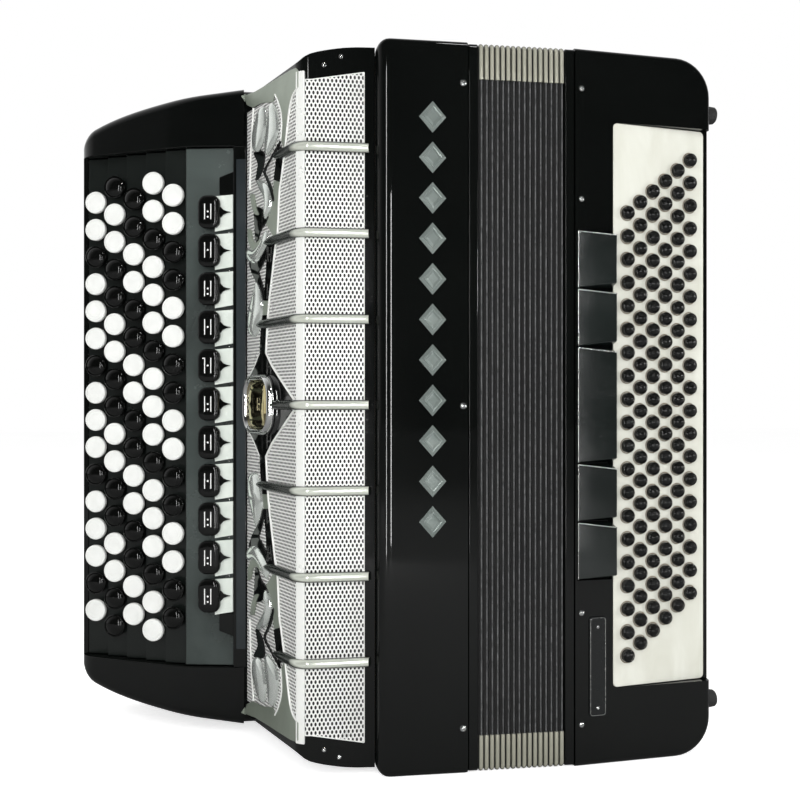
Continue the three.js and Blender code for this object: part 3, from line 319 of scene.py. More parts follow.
def roundedRectangle(left, low, right, high, radius, facets=6):
    made = []
    for x, y, start in ((right - radius, high - radius, 0), (left + radius, high - radius, 90),
                        (left + radius, low + radius, 180), (right - radius, low + radius, 270)):
        for i in range(facets + 1):
            angle = math.radians(start + 90 * i / facets)
            made.append((x + radius * math.cos(angle), y + radius * math.sin(angle)))
    return made


def boardMatrix(corner, along, normal, level=body["mid"]):
    return Matrix(((along[0], 0, normal[0], corner[0]), (along[1], 0, normal[1], corner[1]), (0, 1, 0, level),
                   (0, 0, 0, 1)))


def spot(u, v, out=0):
    return Matrix.Translation((u, v, out))


alongX = Matrix(((0, 0, 1, 0), (1, 0, 0, 0), (0, 1, 0, 0), (0, 0, 0, 1)))     # for (y, z) outlines, out is x
throughY = Matrix(((1, 0, 0, 0), (0, 0, -1, 0), (0, 1, 0, 0), (0, 0, 0, 1)))  # for (x, z) outlines, out is -y


# materials

def addNode(tree, kind, inputs=None, **settings):
    node = tree.nodes.new(kind)
    for key, value in settings.items():
        setattr(node, key, value)
    for key, value in (inputs or {}).items():
        if isinstance(value, bpy.types.NodeSocket):
            tree.links.new(value, node.inputs[key])
        else:
            node.inputs[key].default_value = value
    return node


def newGroup(name, inputs, outputs):
    tree = bpy.data.node_groups.new(name, "ShaderNodeTree")
    for label, value in inputs.items():
        kind = "NodeSocketColor" if isinstance(value, tuple) and len(value) == 4 else (
            "NodeSocketVector" if isinstance(value, tuple) else "NodeSocketFloat")
        socket = tree.interface.new_socket(label, in_out="INPUT", socket_type=kind)
        socket.default_value = value
    for label, kind in outputs.items():
        tree.interface.new_socket(label, in_out="OUTPUT", socket_type="NodeSocket" + kind)
    return tree, tree.nodes.new("NodeGroupInput"), tree.nodes.new("NodeGroupOutput")


def mathNode(tree, operation, a, b=0.0, clamp=False):
    return addNode(tree, "ShaderNodeMath", {0: a, 1: b}, operation=operation, use_clamp=clamp).outputs[0]


def mixColour(tree, factor, a, b):
    return addNode(tree, "ShaderNodeMix", {0: factor, 6: a, 7: b}, data_type="RGBA").outputs[2]


def objectCoords(tree):
    return addNode(tree, "ShaderNodeTexCoord").outputs["Object"]


def seenByEye(tree, path):
    return mathNode(tree, "MAXIMUM", path.outputs["Is Camera Ray"], path.outputs["Is Transmission Ray"])


def mapped(tree, value, fromLow, fromHigh, low, high):
    return addNode(tree, "ShaderNodeMapRange", {"Value": value, "From Min": fromLow, "From Max": fromHigh,
                                                "To Min": low, "To Max": high}).outputs["Result"]


# handled gloss: roughness and a little dust that drift over the surface
dustGroup, groupIn, groupOut = newGroup(
    "handledGloss", {"Scale": 30.0, "Low": 0.1, "High": 0.2, "Dust": 0.0},
    {"Roughness": "Float", "Mask": "Float"})
coords = objectCoords(dustGroup)
broad = addNode(dustGroup, "ShaderNodeTexNoise", {"Vector": coords, "Scale": groupIn.outputs["Scale"],
                                                  "Detail": 5.0, "Roughness": 0.62})
fine = addNode(dustGroup, "ShaderNodeTexNoise", {"Vector": coords, "Detail": 2.0, "Scale": mathNode(
    dustGroup, "MULTIPLY", groupIn.outputs["Scale"], 24.0)})
speck = mapped(dustGroup, fine.outputs["Fac"], 0.66, 0.74, 0.0, 1.0)
wide = mapped(dustGroup, broad.outputs["Fac"], 0.32, 0.68, groupIn.outputs["Low"], groupIn.outputs["High"])
dustMask = mathNode(dustGroup, "MULTIPLY", speck, groupIn.outputs["Dust"])
dustGroup.links.new(mathNode(dustGroup, "ADD", wide, dustMask, True), groupOut.inputs["Roughness"])
dustGroup.links.new(dustMask, groupOut.inputs["Mask"])

# colour drift between two tones
driftGroup, groupIn, groupOut = newGroup(
    "colourDrift", {"First": (0.5, 0.5, 0.5, 1), "Second": (0.6, 0.6, 0.6, 1), "Scale": 20.0,
                    "Stretch": (1.0, 1.0, 1.0)},
    {"Color": "Color", "Height": "Float"})
coords = objectCoords(driftGroup)
stretched = addNode(driftGroup, "ShaderNodeVectorMath", {0: coords, 1: groupIn.outputs["Stretch"]},
                    operation="MULTIPLY")
cloud = addNode(driftGroup, "ShaderNodeTexNoise", {"Vector": stretched.outputs[0],
                                                   "Scale": groupIn.outputs["Scale"], "Detail": 6.0,
                                                   "Roughness": 0.55, "Distortion": 0.6})
driftGroup.links.new(mixColour(driftGroup, mapped(driftGroup, cloud.outputs["Fac"], 0.3, 0.7, 0.0, 1.0),
                               groupIn.outputs["First"], groupIn.outputs["Second"]), groupOut.inputs["Color"])
driftGroup.links.new(cloud.outputs["Fac"], groupOut.inputs["Height"])

# fine unevenness of a moulded or sprayed surface, as a height
peelGroup, groupIn, groupOut = newGroup("surfacePeel", {"Scale": 300.0}, {"Height": "Float"})
coords = objectCoords(peelGroup)
peel = addNode(peelGroup, "ShaderNodeTexNoise", {"Vector": coords, "Scale": groupIn.outputs["Scale"],
                                                 "Detail": 3.0})
peelGroup.links.new(peel.outputs["Fac"], groupOut.inputs["Height"])

# rows of punched holes, every second row moved by half a pitch; the piece's UV map is in centimetres
holeGroup, groupIn, groupOut = newGroup(
    "punchedHoles", {"Pitch U": 0.25, "Pitch V": 0.255, "Half U": 0.06, "Half V": 0.1, "Edge": 0.25},
    {"Hole": "Float", "Rim": "Float"})
coords = addNode(holeGroup, "ShaderNodeTexCoord")
parts = addNode(holeGroup, "ShaderNodeSeparateXYZ", {0: coords.outputs["UV"]})


def holeMath(operation, a, b=0.0):
    return mathNode(holeGroup, operation, a, b)


def holeOval(number, axis):
    pitches, halves = groupIn.outputs["Pitch " + axis], groupIn.outputs["Half " + axis]
    distance = holeMath("MULTIPLY", holeMath("SUBTRACT", holeMath("FRACT", number), 0.5), pitches)
    return holeMath("POWER", holeMath("DIVIDE", holeMath("ABSOLUTE", distance), halves), 2.0)


rowNumber = holeMath("DIVIDE", parts.outputs["Y"], groupIn.outputs["Pitch V"])
shift = holeMath("MULTIPLY", holeMath("FLOORED_MODULO", holeMath("FLOOR", rowNumber), 2.0), 0.5)
columnNumber = holeMath("ADD", holeMath("DIVIDE", parts.outputs["X"], groupIn.outputs["Pitch U"]), shift)
away = holeMath("SQRT", holeMath("ADD", holeOval(columnNumber, "U"), holeOval(rowNumber, "V")))
inside = mapped(holeGroup, away, 1.0, holeMath("ADD", groupIn.outputs["Edge"], 1.0), 1.0, 0.0)
holeGroup.links.new(inside, groupOut.inputs["Hole"])
holeGroup.links.new(mapped(holeGroup, away, 0.9, 1.7, 0.0, 1.0), groupOut.inputs["Rim"])


def addRelief(tree, shader, height, strength, distance, under=None):
    inputs = {"Height": height, "Strength": strength, "Distance": distance}
    if under:
        inputs["Normal"] = under.outputs["Normal"]
    relief = addNode(tree, "ShaderNodeBump", inputs)
    tree.links.new(relief.outputs["Normal"], shader.inputs["Normal"])
    return relief


def useGroup(tree, group, **inputs):
    inputs = {label.replace("_", " "): value for label, value in inputs.items()}
    return addNode(tree, "ShaderNodeGroup", inputs, node_tree=group)


def newMaterial(name, **constants):
    material = bpy.data.materials.new(name)
    material.use_nodes = True
    tree = material.node_tree
    shader = tree.nodes["Principled BSDF"]
    for label, value in constants.items():
        shader.inputs[label.replace("_", " ")].default_value = value
    return material, tree, shader


def finishMaterial(tree, shader, tones, gloss, peel=(300.0, 0.02), stretch=(1.0, 1.0, 1.0), dust=0.0,
                   driftScale=12.0,
                   dustScale=30.0):
    first, second = tones
    drift = useGroup(tree, driftGroup, First=(*first, 1), Second=(*second, 1), Scale=driftScale,
                     Stretch=stretch)
    handled = useGroup(tree, dustGroup, Scale=dustScale, Low=gloss[0], High=gloss[1], Dust=dust)
    height = useGroup(tree, peelGroup, Scale=peel[0])
    tree.links.new(drift.outputs["Color"], shader.inputs["Base Color"])
    tree.links.new(handled.outputs["Roughness"], shader.inputs["Roughness"])
    return drift, handled, addRelief(tree, shader, height.outputs["Height"], peel[1], 0.0004)


def plainMaterial(name, tones, gloss, metallic=0.0, specular=0.5, coat=0.0, paintedReflectionRim=None, **options):
    material, tree, shader = newMaterial(name, Metallic=metallic, Specular_IOR_Level=specular,
                                         Coat_Weight=coat)
    shader.inputs["Coat Roughness"].default_value = 0.03
    drift, _, _ = finishMaterial(tree, shader, tones, gloss, **options)
    if paintedReflectionRim:     # painted reflection: the base colour turns dark where surfaces turn away from the eye, standing in for the dark edges of polished metal in a bright room
        away = addNode(tree, "ShaderNodeLayerWeight", {"Blend": 0.5}).outputs["Facing"]
        rim = mapped(tree, away, *paintedReflectionRim, 0.0, 1.0)
        tree.links.new(mixColour(tree, rim, drift.outputs["Color"], (0.02, 0.024, 0.021, 1)),
                       shader.inputs["Base Color"])
    return material


lacquer = plainMaterial("blackLacquer", ((0.0016, 0.0020, 0.0018), (0.0026, 0.0031, 0.0028)), (0.03, 0.06),
                        specular=0.4, peel=(22.0, 0.012), dust=0.08)
blackPlastic = plainMaterial("blackPlastic", ((0.004, 0.005, 0.005), (0.007, 0.008, 0.008)), (0.14, 0.24),
                             peel=(420.0, 0.06), dust=0.2)
deckBlack = plainMaterial("deckBlack", ((0.003, 0.0045, 0.0038), (0.006, 0.0082, 0.007)), (0.26, 0.38),
                          peel=(900.0, 0.12), dust=0.25)
buttonBlack = plainMaterial("buttonBlack", ((0.0012, 0.0014, 0.0012), (0.0026, 0.0028, 0.0026)), (0.04, 0.08),
                            specular=0.4, peel=(300.0, 0.03), dust=0.15)
buttonWhite = plainMaterial("buttonWhite", ((0.67, 0.68, 0.655), (0.74, 0.75, 0.725)), (0.16, 0.26),
                            driftScale=90.0, peel=(500.0, 0.03))
chrome = plainMaterial("chrome", ((0.60, 0.61, 0.61), (0.70, 0.71, 0.70)), (0.05, 0.12), metallic=1.0,
                       peel=(120.0, 0.03), dust=0.15)
satin = plainMaterial("satinSteel", ((0.62, 0.63, 0.60), (0.74, 0.75, 0.72)), (0.2, 0.34), metallic=1.0,
                      peel=(500.0, 0.06), dust=0.1)
oliveMetal = plainMaterial("oliveMetal", ((0.20, 0.23, 0.185), (0.33, 0.37, 0.31)), (0.3, 0.42), metallic=0.5,
                           peel=(120.0, 0.05), dust=0.1)
goldMirror = plainMaterial("goldMirror", ((0.50, 0.42, 0.20), (0.66, 0.60, 0.36)), (0.02, 0.06), metallic=1.0,
                           peel=(40.0, 0.25), driftScale=60.0)
pearl = plainMaterial("creamPearl", ((0.54, 0.54, 0.47), (0.62, 0.625, 0.56)), (0.16, 0.28), driftScale=55.0,
                      peel=(200.0, 0.03), stretch=(1.0, 1.0, 0.45), coat=0.3)
plateWhite = plainMaterial("registerWhite", ((0.54, 0.59, 0.54), (0.65, 0.69, 0.64)), (0.2, 0.3),
                           driftScale=60.0)
inlayWhite = plainMaterial("inlayWhite", ((0.72, 0.72, 0.70), (0.80, 0.80, 0.78)), (0.3, 0.4),
                           driftScale=200.0)
feltBrown = plainMaterial("feltBrown", ((0.10, 0.075, 0.05), (0.20, 0.16, 0.11)), (0.8, 0.95),
                          peel=(2500.0, 0.4), driftScale=300.0)
# corner ribs: their dark rim is painted reflection, the base colour darkened at grazing angles
ribMetal = plainMaterial("ribMetal", ((0.28, 0.277, 0.222), (0.40, 0.396, 0.325)), (0.3, 0.4), metallic=0.4,
                         paintedReflectionRim=(0.4, 0.8), peel=(700.0, 0.05))
rubberBlack = plainMaterial("footRubber", ((0.010, 0.010, 0.010), (0.020, 0.020, 0.020)), (0.6, 0.8),
                            peel=(1200.0, 0.3))
pipingGrey = plainMaterial("pipingGrey", ((0.02, 0.021, 0.022), (0.125, 0.129, 0.13)), (0.5, 0.7),
                           peel=(2500.0, 0.4), driftScale=400.0)
threadPale = plainMaterial("strapThread", ((0.30, 0.29, 0.26), (0.42, 0.40, 0.36)), (0.7, 0.85),
                           peel=(3000.0, 0.4), driftScale=600.0)

trimSilver = plainMaterial("trimSilver", ((0.78, 0.79, 0.76), (0.83, 0.84, 0.81)), (0.26, 0.32), metallic=0.3,
                           peel=(500.0, 0.04))
leafMetal = plainMaterial("leafMetal", ((0.66, 0.70, 0.66), (0.80, 0.84, 0.80)), (0.07, 0.14), metallic=0.75,
                          peel=(90.0, 0.05), driftScale=45.0)
# register shelf: a rough grey of its own, with a broad slow drift from near black to lighter grey that stands
# in for the sheen across it: painted sheen
shelfGreyPaintedSheen = plainMaterial("shelfGreyPaintedSheen", ((0.014, 0.019, 0.0175), (0.058, 0.073, 0.068)), (0.2, 0.3),
                          peel=(900.0, 0.12), driftScale=9.0)
# grille bars: their dark rim is painted reflection, the base colour darkened at grazing angles
barMetal = plainMaterial("barMetal", ((0.60, 0.63, 0.55), (0.73, 0.76, 0.68)), (0.10, 0.18), metallic=0.5,
                         paintedReflectionRim=(0.24, 0.56), peel=(300.0, 0.05), driftScale=30.0, dust=0.08)
lozengeMetal = plainMaterial("lozengeMetal", ((0.17, 0.20, 0.187), (0.245, 0.28, 0.262)), (0.14, 0.24),
                             metallic=0.45, peel=(200.0, 0.05), driftScale=50.0)
# a lighter bluish tone for the strip along the glossy rail: painted reflection
railPaintedReflection = plainMaterial("railPaintedReflection", ((0.009, 0.012, 0.0135), (0.026, 0.033, 0.036)), (0.10, 0.2),
                         peel=(90.0, 0.03), driftScale=7.0)
# bass register wedges: a near black of their own, lifted towards the grey-green they mirror: partly own tone,
# partly painted reflection
registerBlack = plainMaterial("registerBlack", ((0.003, 0.0045, 0.004), (0.011, 0.0145, 0.0135)),
                              (0.06, 0.12), driftScale=8.0, peel=(200.0, 0.03), dust=0.1)

# punched sheet: metal with holes painted near black, painted shade for the dark inside seen through them
sheetLooks = {
    "frontSheet": {"Pitch_U": 0.25, "Pitch_V": 0.255, "Half_U": 0.06, "Half_V": 0.1, "Edge": 0.3,
                   "tone": 0.78},
    "sideSheet": {"Pitch_U": 0.21, "Pitch_V": 0.21, "Half_U": 0.062, "Half_V": 0.062, "Edge": 0.35,
                  "tone": 0.84},
}


def punchedMaterial(name):
    look = dict(sheetLooks[name])
    tone = look.pop("tone")
    material, tree, shader = newMaterial(name)
    drift, handled, bump = finishMaterial(
        tree, shader, ((tone, tone, tone * 0.97), (tone + 0.06, tone + 0.06, tone + 0.04)), (0.26, 0.4),
        driftScale=40.0)
    holes = useGroup(tree, holeGroup, **look)
    hole = holes.outputs["Hole"]
    # painted shade: the holes turn near black
    tree.links.new(mixColour(tree, hole, drift.outputs["Color"], (0.004, 0.004, 0.004, 1)),
                   shader.inputs["Base Color"])
    tree.links.new(mathNode(tree, "MULTIPLY", mathNode(tree, "SUBTRACT", 1.0, hole), 0.35),
                   shader.inputs["Metallic"])
    tree.links.new(mathNode(tree, "ADD", handled.outputs["Roughness"], mathNode(tree, "MULTIPLY", hole, 0.5),
                            True), shader.inputs["Roughness"])
    addRelief(tree, shader, holes.outputs["Rim"], 0.5, 0.0003, bump)
    return material


frontSheet = punchedMaterial("frontSheet")
sideSheet = punchedMaterial("sideSheet")


def clothMaterial():
    material, tree, shader = newMaterial("bellowsCloth", Sheen_Weight=0.15, Specular_IOR_Level=0.3)
    drift, handled, bump = finishMaterial(tree, shader, ((0.006, 0.006, 0.0062), (0.012, 0.012, 0.0125)),
                                          (0.5, 0.7), driftScale=35.0)
    bands = [addNode(tree, "ShaderNodeTexWave", {"Vector": objectCoords(tree), "Scale": 900.0,
                                                 "Distortion": 0.4}, bands_direction=direction).outputs["Fac"]
             for direction in "XYZ"]
    weave = mathNode(tree, "MAXIMUM", mathNode(tree, "MAXIMUM", bands[0], bands[1]), bands[2])
    addRelief(tree, shader, weave, 0.35, 0.0002, bump)
    return material


def leatherMaterial():
    material, tree, shader = newMaterial("strapLeather", Specular_IOR_Level=0.4)
    drift, handled, bump = finishMaterial(tree, shader, ((0.010, 0.009, 0.008), (0.022, 0.019, 0.016)),
                                          (0.38, 0.56), driftScale=30.0)
    pores = addNode(tree, "ShaderNodeTexVoronoi", {"Vector": objectCoords(tree), "Scale": 700.0},
                    feature="DISTANCE_TO_EDGE")
    addRelief(tree, shader, pores.outputs["Distance"], 0.35, 0.0004, bump)
    return material


def woodMaterial():
    material, tree, shader = newMaterial("reedWood", Specular_IOR_Level=0.35)
    drift, handled, bump = finishMaterial(tree, shader, ((0.36, 0.22, 0.10), (0.55, 0.37, 0.19)), (0.4, 0.55),
                                          stretch=(1.0, 1.0, 0.08), driftScale=160.0)
    addRelief(tree, shader, drift.outputs["Height"], 0.2, 0.0004, bump)
    return material


cloth = clothMaterial()
leather = leatherMaterial()
wood = woodMaterial()
print("materials made")


# stage: camera, floor, lamps, surroundings

stage = {"camera": (-0.116537, -0.717815, 0.227), "turn": -9, "lens": 46.5,
         "lamps": {     # place, aim, width, height, watts, whether gloss mirrors it
             "softLeft": ((-1.2, -0.95, 0.75), (0.0, 0.0, 0.23), 0.7, 1.3, 8.9, False),
             "softFront": ((-0.1, -1.7, 1.1), (0.0, 0.0, 0.23), 1.4, 0.9, 8.2, False),
             "softRight": ((1.25, -0.8, 0.7), (0.0, 0.0, 0.23), 0.6, 1.1, 3.0, False),
             "overhead": ((0.1, 0.25, 1.7), (0.0, 0.0, 0.23), 1.3, 1.0, 6.9, False),
             "stripFront": ((-0.31, -0.92, 0.3), (-0.05, 0.0, 0.24), 0.022, 0.8, 2.2, True),
             "stripRight": ((1.45, -0.9, 0.3), (0.1, 0.0, 0.24), 0.05, 0.8, 2.0, True),
             "stripCentre": ((0.04, -0.95, 0.27), (0.0, -0.1, 0.24), 0.022, 0.5, 1.3, True),
             "spotHigh": ((0.35, -1.3, 1.35), (0.0, 0.0, 0.24), 0.12, 0.12, 2.2, True),
             "spotRight": ((1.0, -0.5, 0.42), (0.1, -0.1, 0.24), 0.07, 0.1, 2.2, True),
         }}

cameraData = bpy.data.cameras.new("photoCamera")
cameraData.lens = stage["lens"]
cameraData.sensor_width = 36
camera = bpy.data.objects.new("photoCamera", cameraData)
camera.location = stage["camera"]
camera.rotation_euler = (math.radians(90), 0, math.radians(stage["turn"]))
bpy.context.scene.collection.objects.link(camera)
bpy.context.scene.camera = camera

for name, (place, aim, width, height, watts, mirrored) in stage["lamps"].items():
    lampData = bpy.data.lights.new(name, "AREA")
    lampData.shape = "RECTANGLE"
    lampData.size = width
    lampData.size_y = height
    lampData.energy = watts
    lamp = bpy.data.objects.new(name, lampData)
    lamp.visible_glossy = mirrored
    lamp.location = place
    lamp.rotation_euler = (Vector(aim) - Vector(place)).to_track_quat("-Z", "Y").to_euler()
    bpy.context.scene.collection.objects.link(lamp)

world = bpy.data.worlds.new("studio")
bpy.context.scene.world = world
world.use_nodes = True
tree = world.node_tree
tree.nodes.clear()
path = addNode(tree, "ShaderNodeLightPath")
direction = addNode(tree, "ShaderNodeTexCoord")
facing = addNode(tree, "ShaderNodeVectorMath", {0: direction.outputs["Generated"], 1: (-0.1, 0.94, 0.32)},
                 operation="DOT_PRODUCT")
shine = mapped(tree, facing.outputs["Value"], -0.3, 0.75, 0.045, 1.0)     # bright behind the object
ambient = mathNode(tree, "ADD", mathNode(tree, "MULTIPLY", path.outputs["Is Glossy Ray"], shine),
                   mathNode(tree, "MULTIPLY", mathNode(tree, "SUBTRACT", 1.0, path.outputs["Is Glossy Ray"]),
                            0.36))
strength = mathNode(tree, "MAXIMUM", seenByEye(tree, path), ambient)
background = addNode(tree, "ShaderNodeBackground", {"Color": (1, 1, 1, 1), "Strength": strength})
tree.links.new(background.outputs[0], addNode(tree, "ShaderNodeOutputWorld").inputs["Surface"])

deselect()
bpy.ops.mesh.primitive_plane_add(size=14, location=(0, 0, cadBounds[0][2] - 0.0002))
floor = bpy.context.object
floor.name = "studioFloor"
floorMaterial, tree, shader = newMaterial("studioFloor", Roughness=0.9, Specular_IOR_Level=0.0)
path = addNode(tree, "ShaderNodeLightPath")
drift = useGroup(tree, driftGroup, First=(0.84, 0.84, 0.84, 1), Second=(0.88, 0.88, 0.88, 1), Scale=2.0)
shaded = mixColour(tree, mathNode(tree, "MULTIPLY", path.outputs["Is Glossy Ray"], 0.65),
                   drift.outputs["Color"], (0.05, 0.05, 0.05, 1))
tree.links.new(shaded, shader.inputs["Base Color"])
glow = addNode(tree, "ShaderNodeEmission", {"Color": (1, 1, 1, 1),
                                            "Strength": mathNode(tree, "MULTIPLY", seenByEye(tree, path),
                                                                 0.68)})
both = addNode(tree, "ShaderNodeAddShader", {0: shader.outputs[0], 1: glow.outputs[0]})
tree.links.new(both.outputs[0], tree.nodes["Material Output"].inputs["Surface"])
floor.data.materials.append(floorMaterial)
bpy.context.scene.view_settings.view_transform = "Standard"
print("stage set")


# treble case and its row of lozenges

trebleCase = {"width": 56, "wall": 10, "corner": 9, "front": 2.6, "edge": 7.5, "hollowCorner": 6,
              "shoulder": (1.8, 0.055)}


def caseOutline(inset, corner, facets=6, front=None):
    left, low, right, high = inset, inset, body["depth"] - inset, body["height"] - inset
    back = roundedRectangle(left, low, right, high, corner, facets)
    tight = roundedRectangle(left, low, right, high, front or corner, facets)
    quarter = facets + 1
    return back[:quarter] + tight[quarter:3 * quarter] + back[3 * quarter:]


edge, (shoulder, fall) = trebleCase["edge"], trebleCase["shoulder"]
caseRings = [[(-trebleCase["width"] + edge * (1 - cosine(a)), y, z) for y, z in caseOutline(
    fall + edge * (1 - sine(a)), trebleCase["corner"], 8, trebleCase["front"])]
             for a in (0, 10, 22, 35, 48, 61, 75, 90)]
caseRings += [[(x, y, z) for y, z in caseOutline(0, trebleCase["corner"], 8, trebleCase["front"])]
              for x in (shoulder + edge - trebleCase["width"], 0)]
case = loftPiece(caseRings)
inside = placed(outlineSolid(caseOutline(trebleCase["wall"], trebleCase["hollowCorner"]),
                             -trebleCase["width"] - 5, 5), alongX)
cutAway(case, inside)
wall = trebleCase["wall"] - 1
pickEdges(case, lambda a, b: abs(a.x) < 0.01 and abs(b.x) < 0.01 and not (
    wall < a.y < body["depth"] - wall and wall < a.z < body["height"] - wall))
bevelPicked(case, 0.8, 2)
finishPiece(case, "trebleCase", "treble", lacquer, replaces=("treble_case",))

lozenge = {"count": 11, "x": -22.2, "top": 398, "bottom": 153.4, "half": 8.4, "halfHigh": 9.6, "low": 0.02,
           "high": 0.5, "insets": ((1.9, 1.1), (0.5, -0.25), (1.4, 0.3))}
halfWide, halfHigh = lozenge["half"], lozenge["halfHigh"]
diamond = outlineSolid([(-halfWide, 0), (0, -halfHigh), (halfWide, 0), (0, halfHigh)], lozenge["low"],
                       lozenge["high"])
pickTop(diamond)
insetPicked(lozenge["insets"])
softenEdges(diamond, 0.12, 2, 12)
pitch = (lozenge["top"] - lozenge["bottom"]) / (lozenge["count"] - 1)
lozenges = copies(diamond, [throughY @ spot(lozenge["x"], lozenge["bottom"] + pitch * i, 0)
                            for i in range(lozenge["count"])])
finishPiece(lozenges, "panelLozenges", "treble", lozengeMetal, angle=18)
print("treble case done")


# screws, one shape for all

def screwAt(matrices, name, rides, radius=1.9):
    screw = turnedPiece([(0, -0.6), (radius, -0.6), (radius, 0.15), (radius * 0.85, 0.5),
                         (radius * 0.5, 0.78), (0, 0.88)], 16)
    slot = blockPiece((-radius * 1.2, -0.24, 0.45), (radius * 1.2, 0.24, 2))
    cutAway(screw, slot)
    return finishPiece(copies(screw, matrices), name, rides, chrome)


def turnedBy(degrees):
    return Matrix.Rotation(math.radians(degrees), 4, "Z")


bassCase = {"left": 67.6, "width": 93.6, "wall": 6, "edge": 3, "taper": 10, "corner": 24, "hollowFront": 24}
bassLeft = bassCase["left"]
bassRight = bassLeft + bassCase["width"]
taper = math.atan2(bassCase["taper"], bassCase["width"])
frontBoard = boardMatrix((bassLeft, 0), (math.cos(taper), math.sin(taper)),
                         (math.sin(taper), -math.cos(taper)))
backBoard = boardMatrix((0, body["depth"]), (-1, 0), (0, 1), 0)

rimScrews = {"in": 3.2, "levels": (419.5, 223.4, 27.5)}
screwAt([throughY @ spot(-rimScrews["in"], z) @ turnedBy(40 + z) for z in rimScrews["levels"]]
        + [backBoard @ spot(rimScrews["in"], z) @ turnedBy(25 + z) for z in rimScrews["levels"]],
        "trebleBellowsScrews", "treble")

# grille: housing, screens, trim, bars

grille = {"setback": 8, "front": 46, "side": 91, "turn": 69.5, "bend": 10, "depth": 97, "wall": 4,
          "endInset": 4.2, "edge": 1.4, "mid": 224, "hollowInset": 21.2, "step": 4, "fade": 7, "reach": 197.5,
          "window": 6.4, "sheet": 6.7, "sheetGap": 0.3, "thickness": 1.2, "back": -56.3, "hollowBack": -60.6,
          "margin": 5, "drop": ((-56, 0), (-66.6, 0.3), (-73.9, 0.9), (-77.5, 1.4), (-84.7, 2.7),
                                (-88.4, 3.5), (-92, 4.4), (-95.6, 5.6), (-99.2, 7.4), (-102.8, 10),
                                (-107, 11), (-140, 11))}
turn = math.radians(grille["turn"])
tangent = grille["bend"] * math.tan(turn / 2)
bendStart = grille["front"] - tangent
bendEnd = bendStart + grille["bend"] * turn
sideStart = bendEnd - tangent
grilleRun = sideStart + grille["side"]


def wrapPoint(run, out):
    angle = min(max((run - bendStart) / grille["bend"], 0), turn)
    x = -trebleCase["width"] - min(run, bendStart) - math.sin(angle) * (grille["bend"] + out)
    y = grille["setback"] + grille["bend"] - math.cos(angle) * (grille["bend"] + out)
    past = max(run - bendEnd, 0)
    return x - math.cos(turn) * past, y + math.sin(turn) * past


def wrapRuns(low, high, bendSteps=10):
    runs = [bendStart + (bendEnd - bendStart) * i / bendSteps for i in range(bendSteps + 1)]
    runs += [bendStart - grille["step"] * i for i in range(1, 9)]
    return [low, *sorted(run for run in runs if low < run < high), high]


sideBoard = boardMatrix((-trebleCase["width"] - grille["front"], grille["setback"]),
                        (-math.cos(turn), math.sin(turn)), (-math.sin(turn), -math.cos(turn)), grille["mid"])


def housingPlan(inset, right, back):
    face = [wrapPoint(run, -inset) for run in wrapRuns(0.3 + inset, grilleRun - inset)]
    return [(right, back), (right, face[0][1])] + face + [(face[-1][0], back)]


def screenEnd(run):
    return grille["reach"] + grille["fade"] * (1 - min(run / bendStart, 1))


def endDrop(x):
    for (xNear, near), (xFar, far) in zip(grille["drop"], grille["drop"][1:]):
        if x >= xFar:
            return near + (far - near) * max(xNear - x, 0) / (xNear - xFar)
    return grille["drop"][-1][1]


def wrapSheet(runs):
    deselect()
    bpy.ops.mesh.primitive_grid_add(x_subdivisions=len(runs) - 1, y_subdivisions=2, size=1)
    sheet = bpy.context.object
    layer = sheet.data.uv_layers[0]
    flat = {}
    for i, vertex in enumerate(sheet.data.vertices):
        row, column = divmod(i, len(runs))
        run = runs[column]
        height = body["mid"] + (row - 1) * (screenEnd(run) - grille["sheetGap"])
        vertex.co = (*wrapPoint(run, 0), height)
        flat[i] = (run / 10, height / 10)
    for loop in sheet.data.loops:
        layer.data[loop.index].uv = flat[loop.vertex_index]
    return applyModifier(sheet, "SOLIDIFY", thickness=grille["thickness"], offset=1)


housing = outlineSolid(housingPlan(0, grille["back"], grille["depth"]), grille["endInset"],
                       body["height"] - grille["endInset"])
for vertex in housing.data.vertices:        # the ends fall away round the bend
    vertex.co.z -= math.copysign(endDrop(vertex.co.x), vertex.co.z - body["mid"])
pickEdges(housing, lambda a, b: (abs(a.z - b.z) < 5 and max(a.x, b.x) < grille["back"] - 0.01
                                 and min(a.y, b.y) < grille["depth"] - 0.1))
bevelPicked(housing, grille["edge"], 4)
hollow = outlineSolid(housingPlan(grille["wall"], grille["hollowBack"], grille["depth"] + 4),
                      grille["hollowInset"], body["height"] - grille["hollowInset"])
cutAway(housing, hollow)


def bandRing(run, low, high):
    reach = screenEnd(run)
    (ax, ay), (bx, by) = wrapPoint(run, low), wrapPoint(run, high)
    return [(ax, ay, body["mid"] - reach), (bx, by, body["mid"] - reach), (bx, by, body["mid"] + reach),
            (ax, ay, body["mid"] + reach)]


window = loftPiece([bandRing(run, -8, 4) for run in wrapRuns(grille["window"], grilleRun - grille["margin"])])
cutAway(housing, window)
softenEdges(housing, 0.5, 2, 40)
finishPiece(housing, "grilleHousing", "treble", lacquer, replaces=("grille_housing",))

# the front screen, up to the corner, and the side screen behind the scrollwork
middle = (bendStart + bendEnd) / 2
finishPiece(wrapSheet(wrapRuns(grille["sheet"], middle)), "grilleFrontScreen", "treble",
            frontSheet, replaces=("grille_screen",))
finishPiece(wrapSheet(wrapRuns(middle, grilleRun - grille["margin"] - grille["sheetGap"])),
            "grilleSideScreen", "treble", sideSheet)

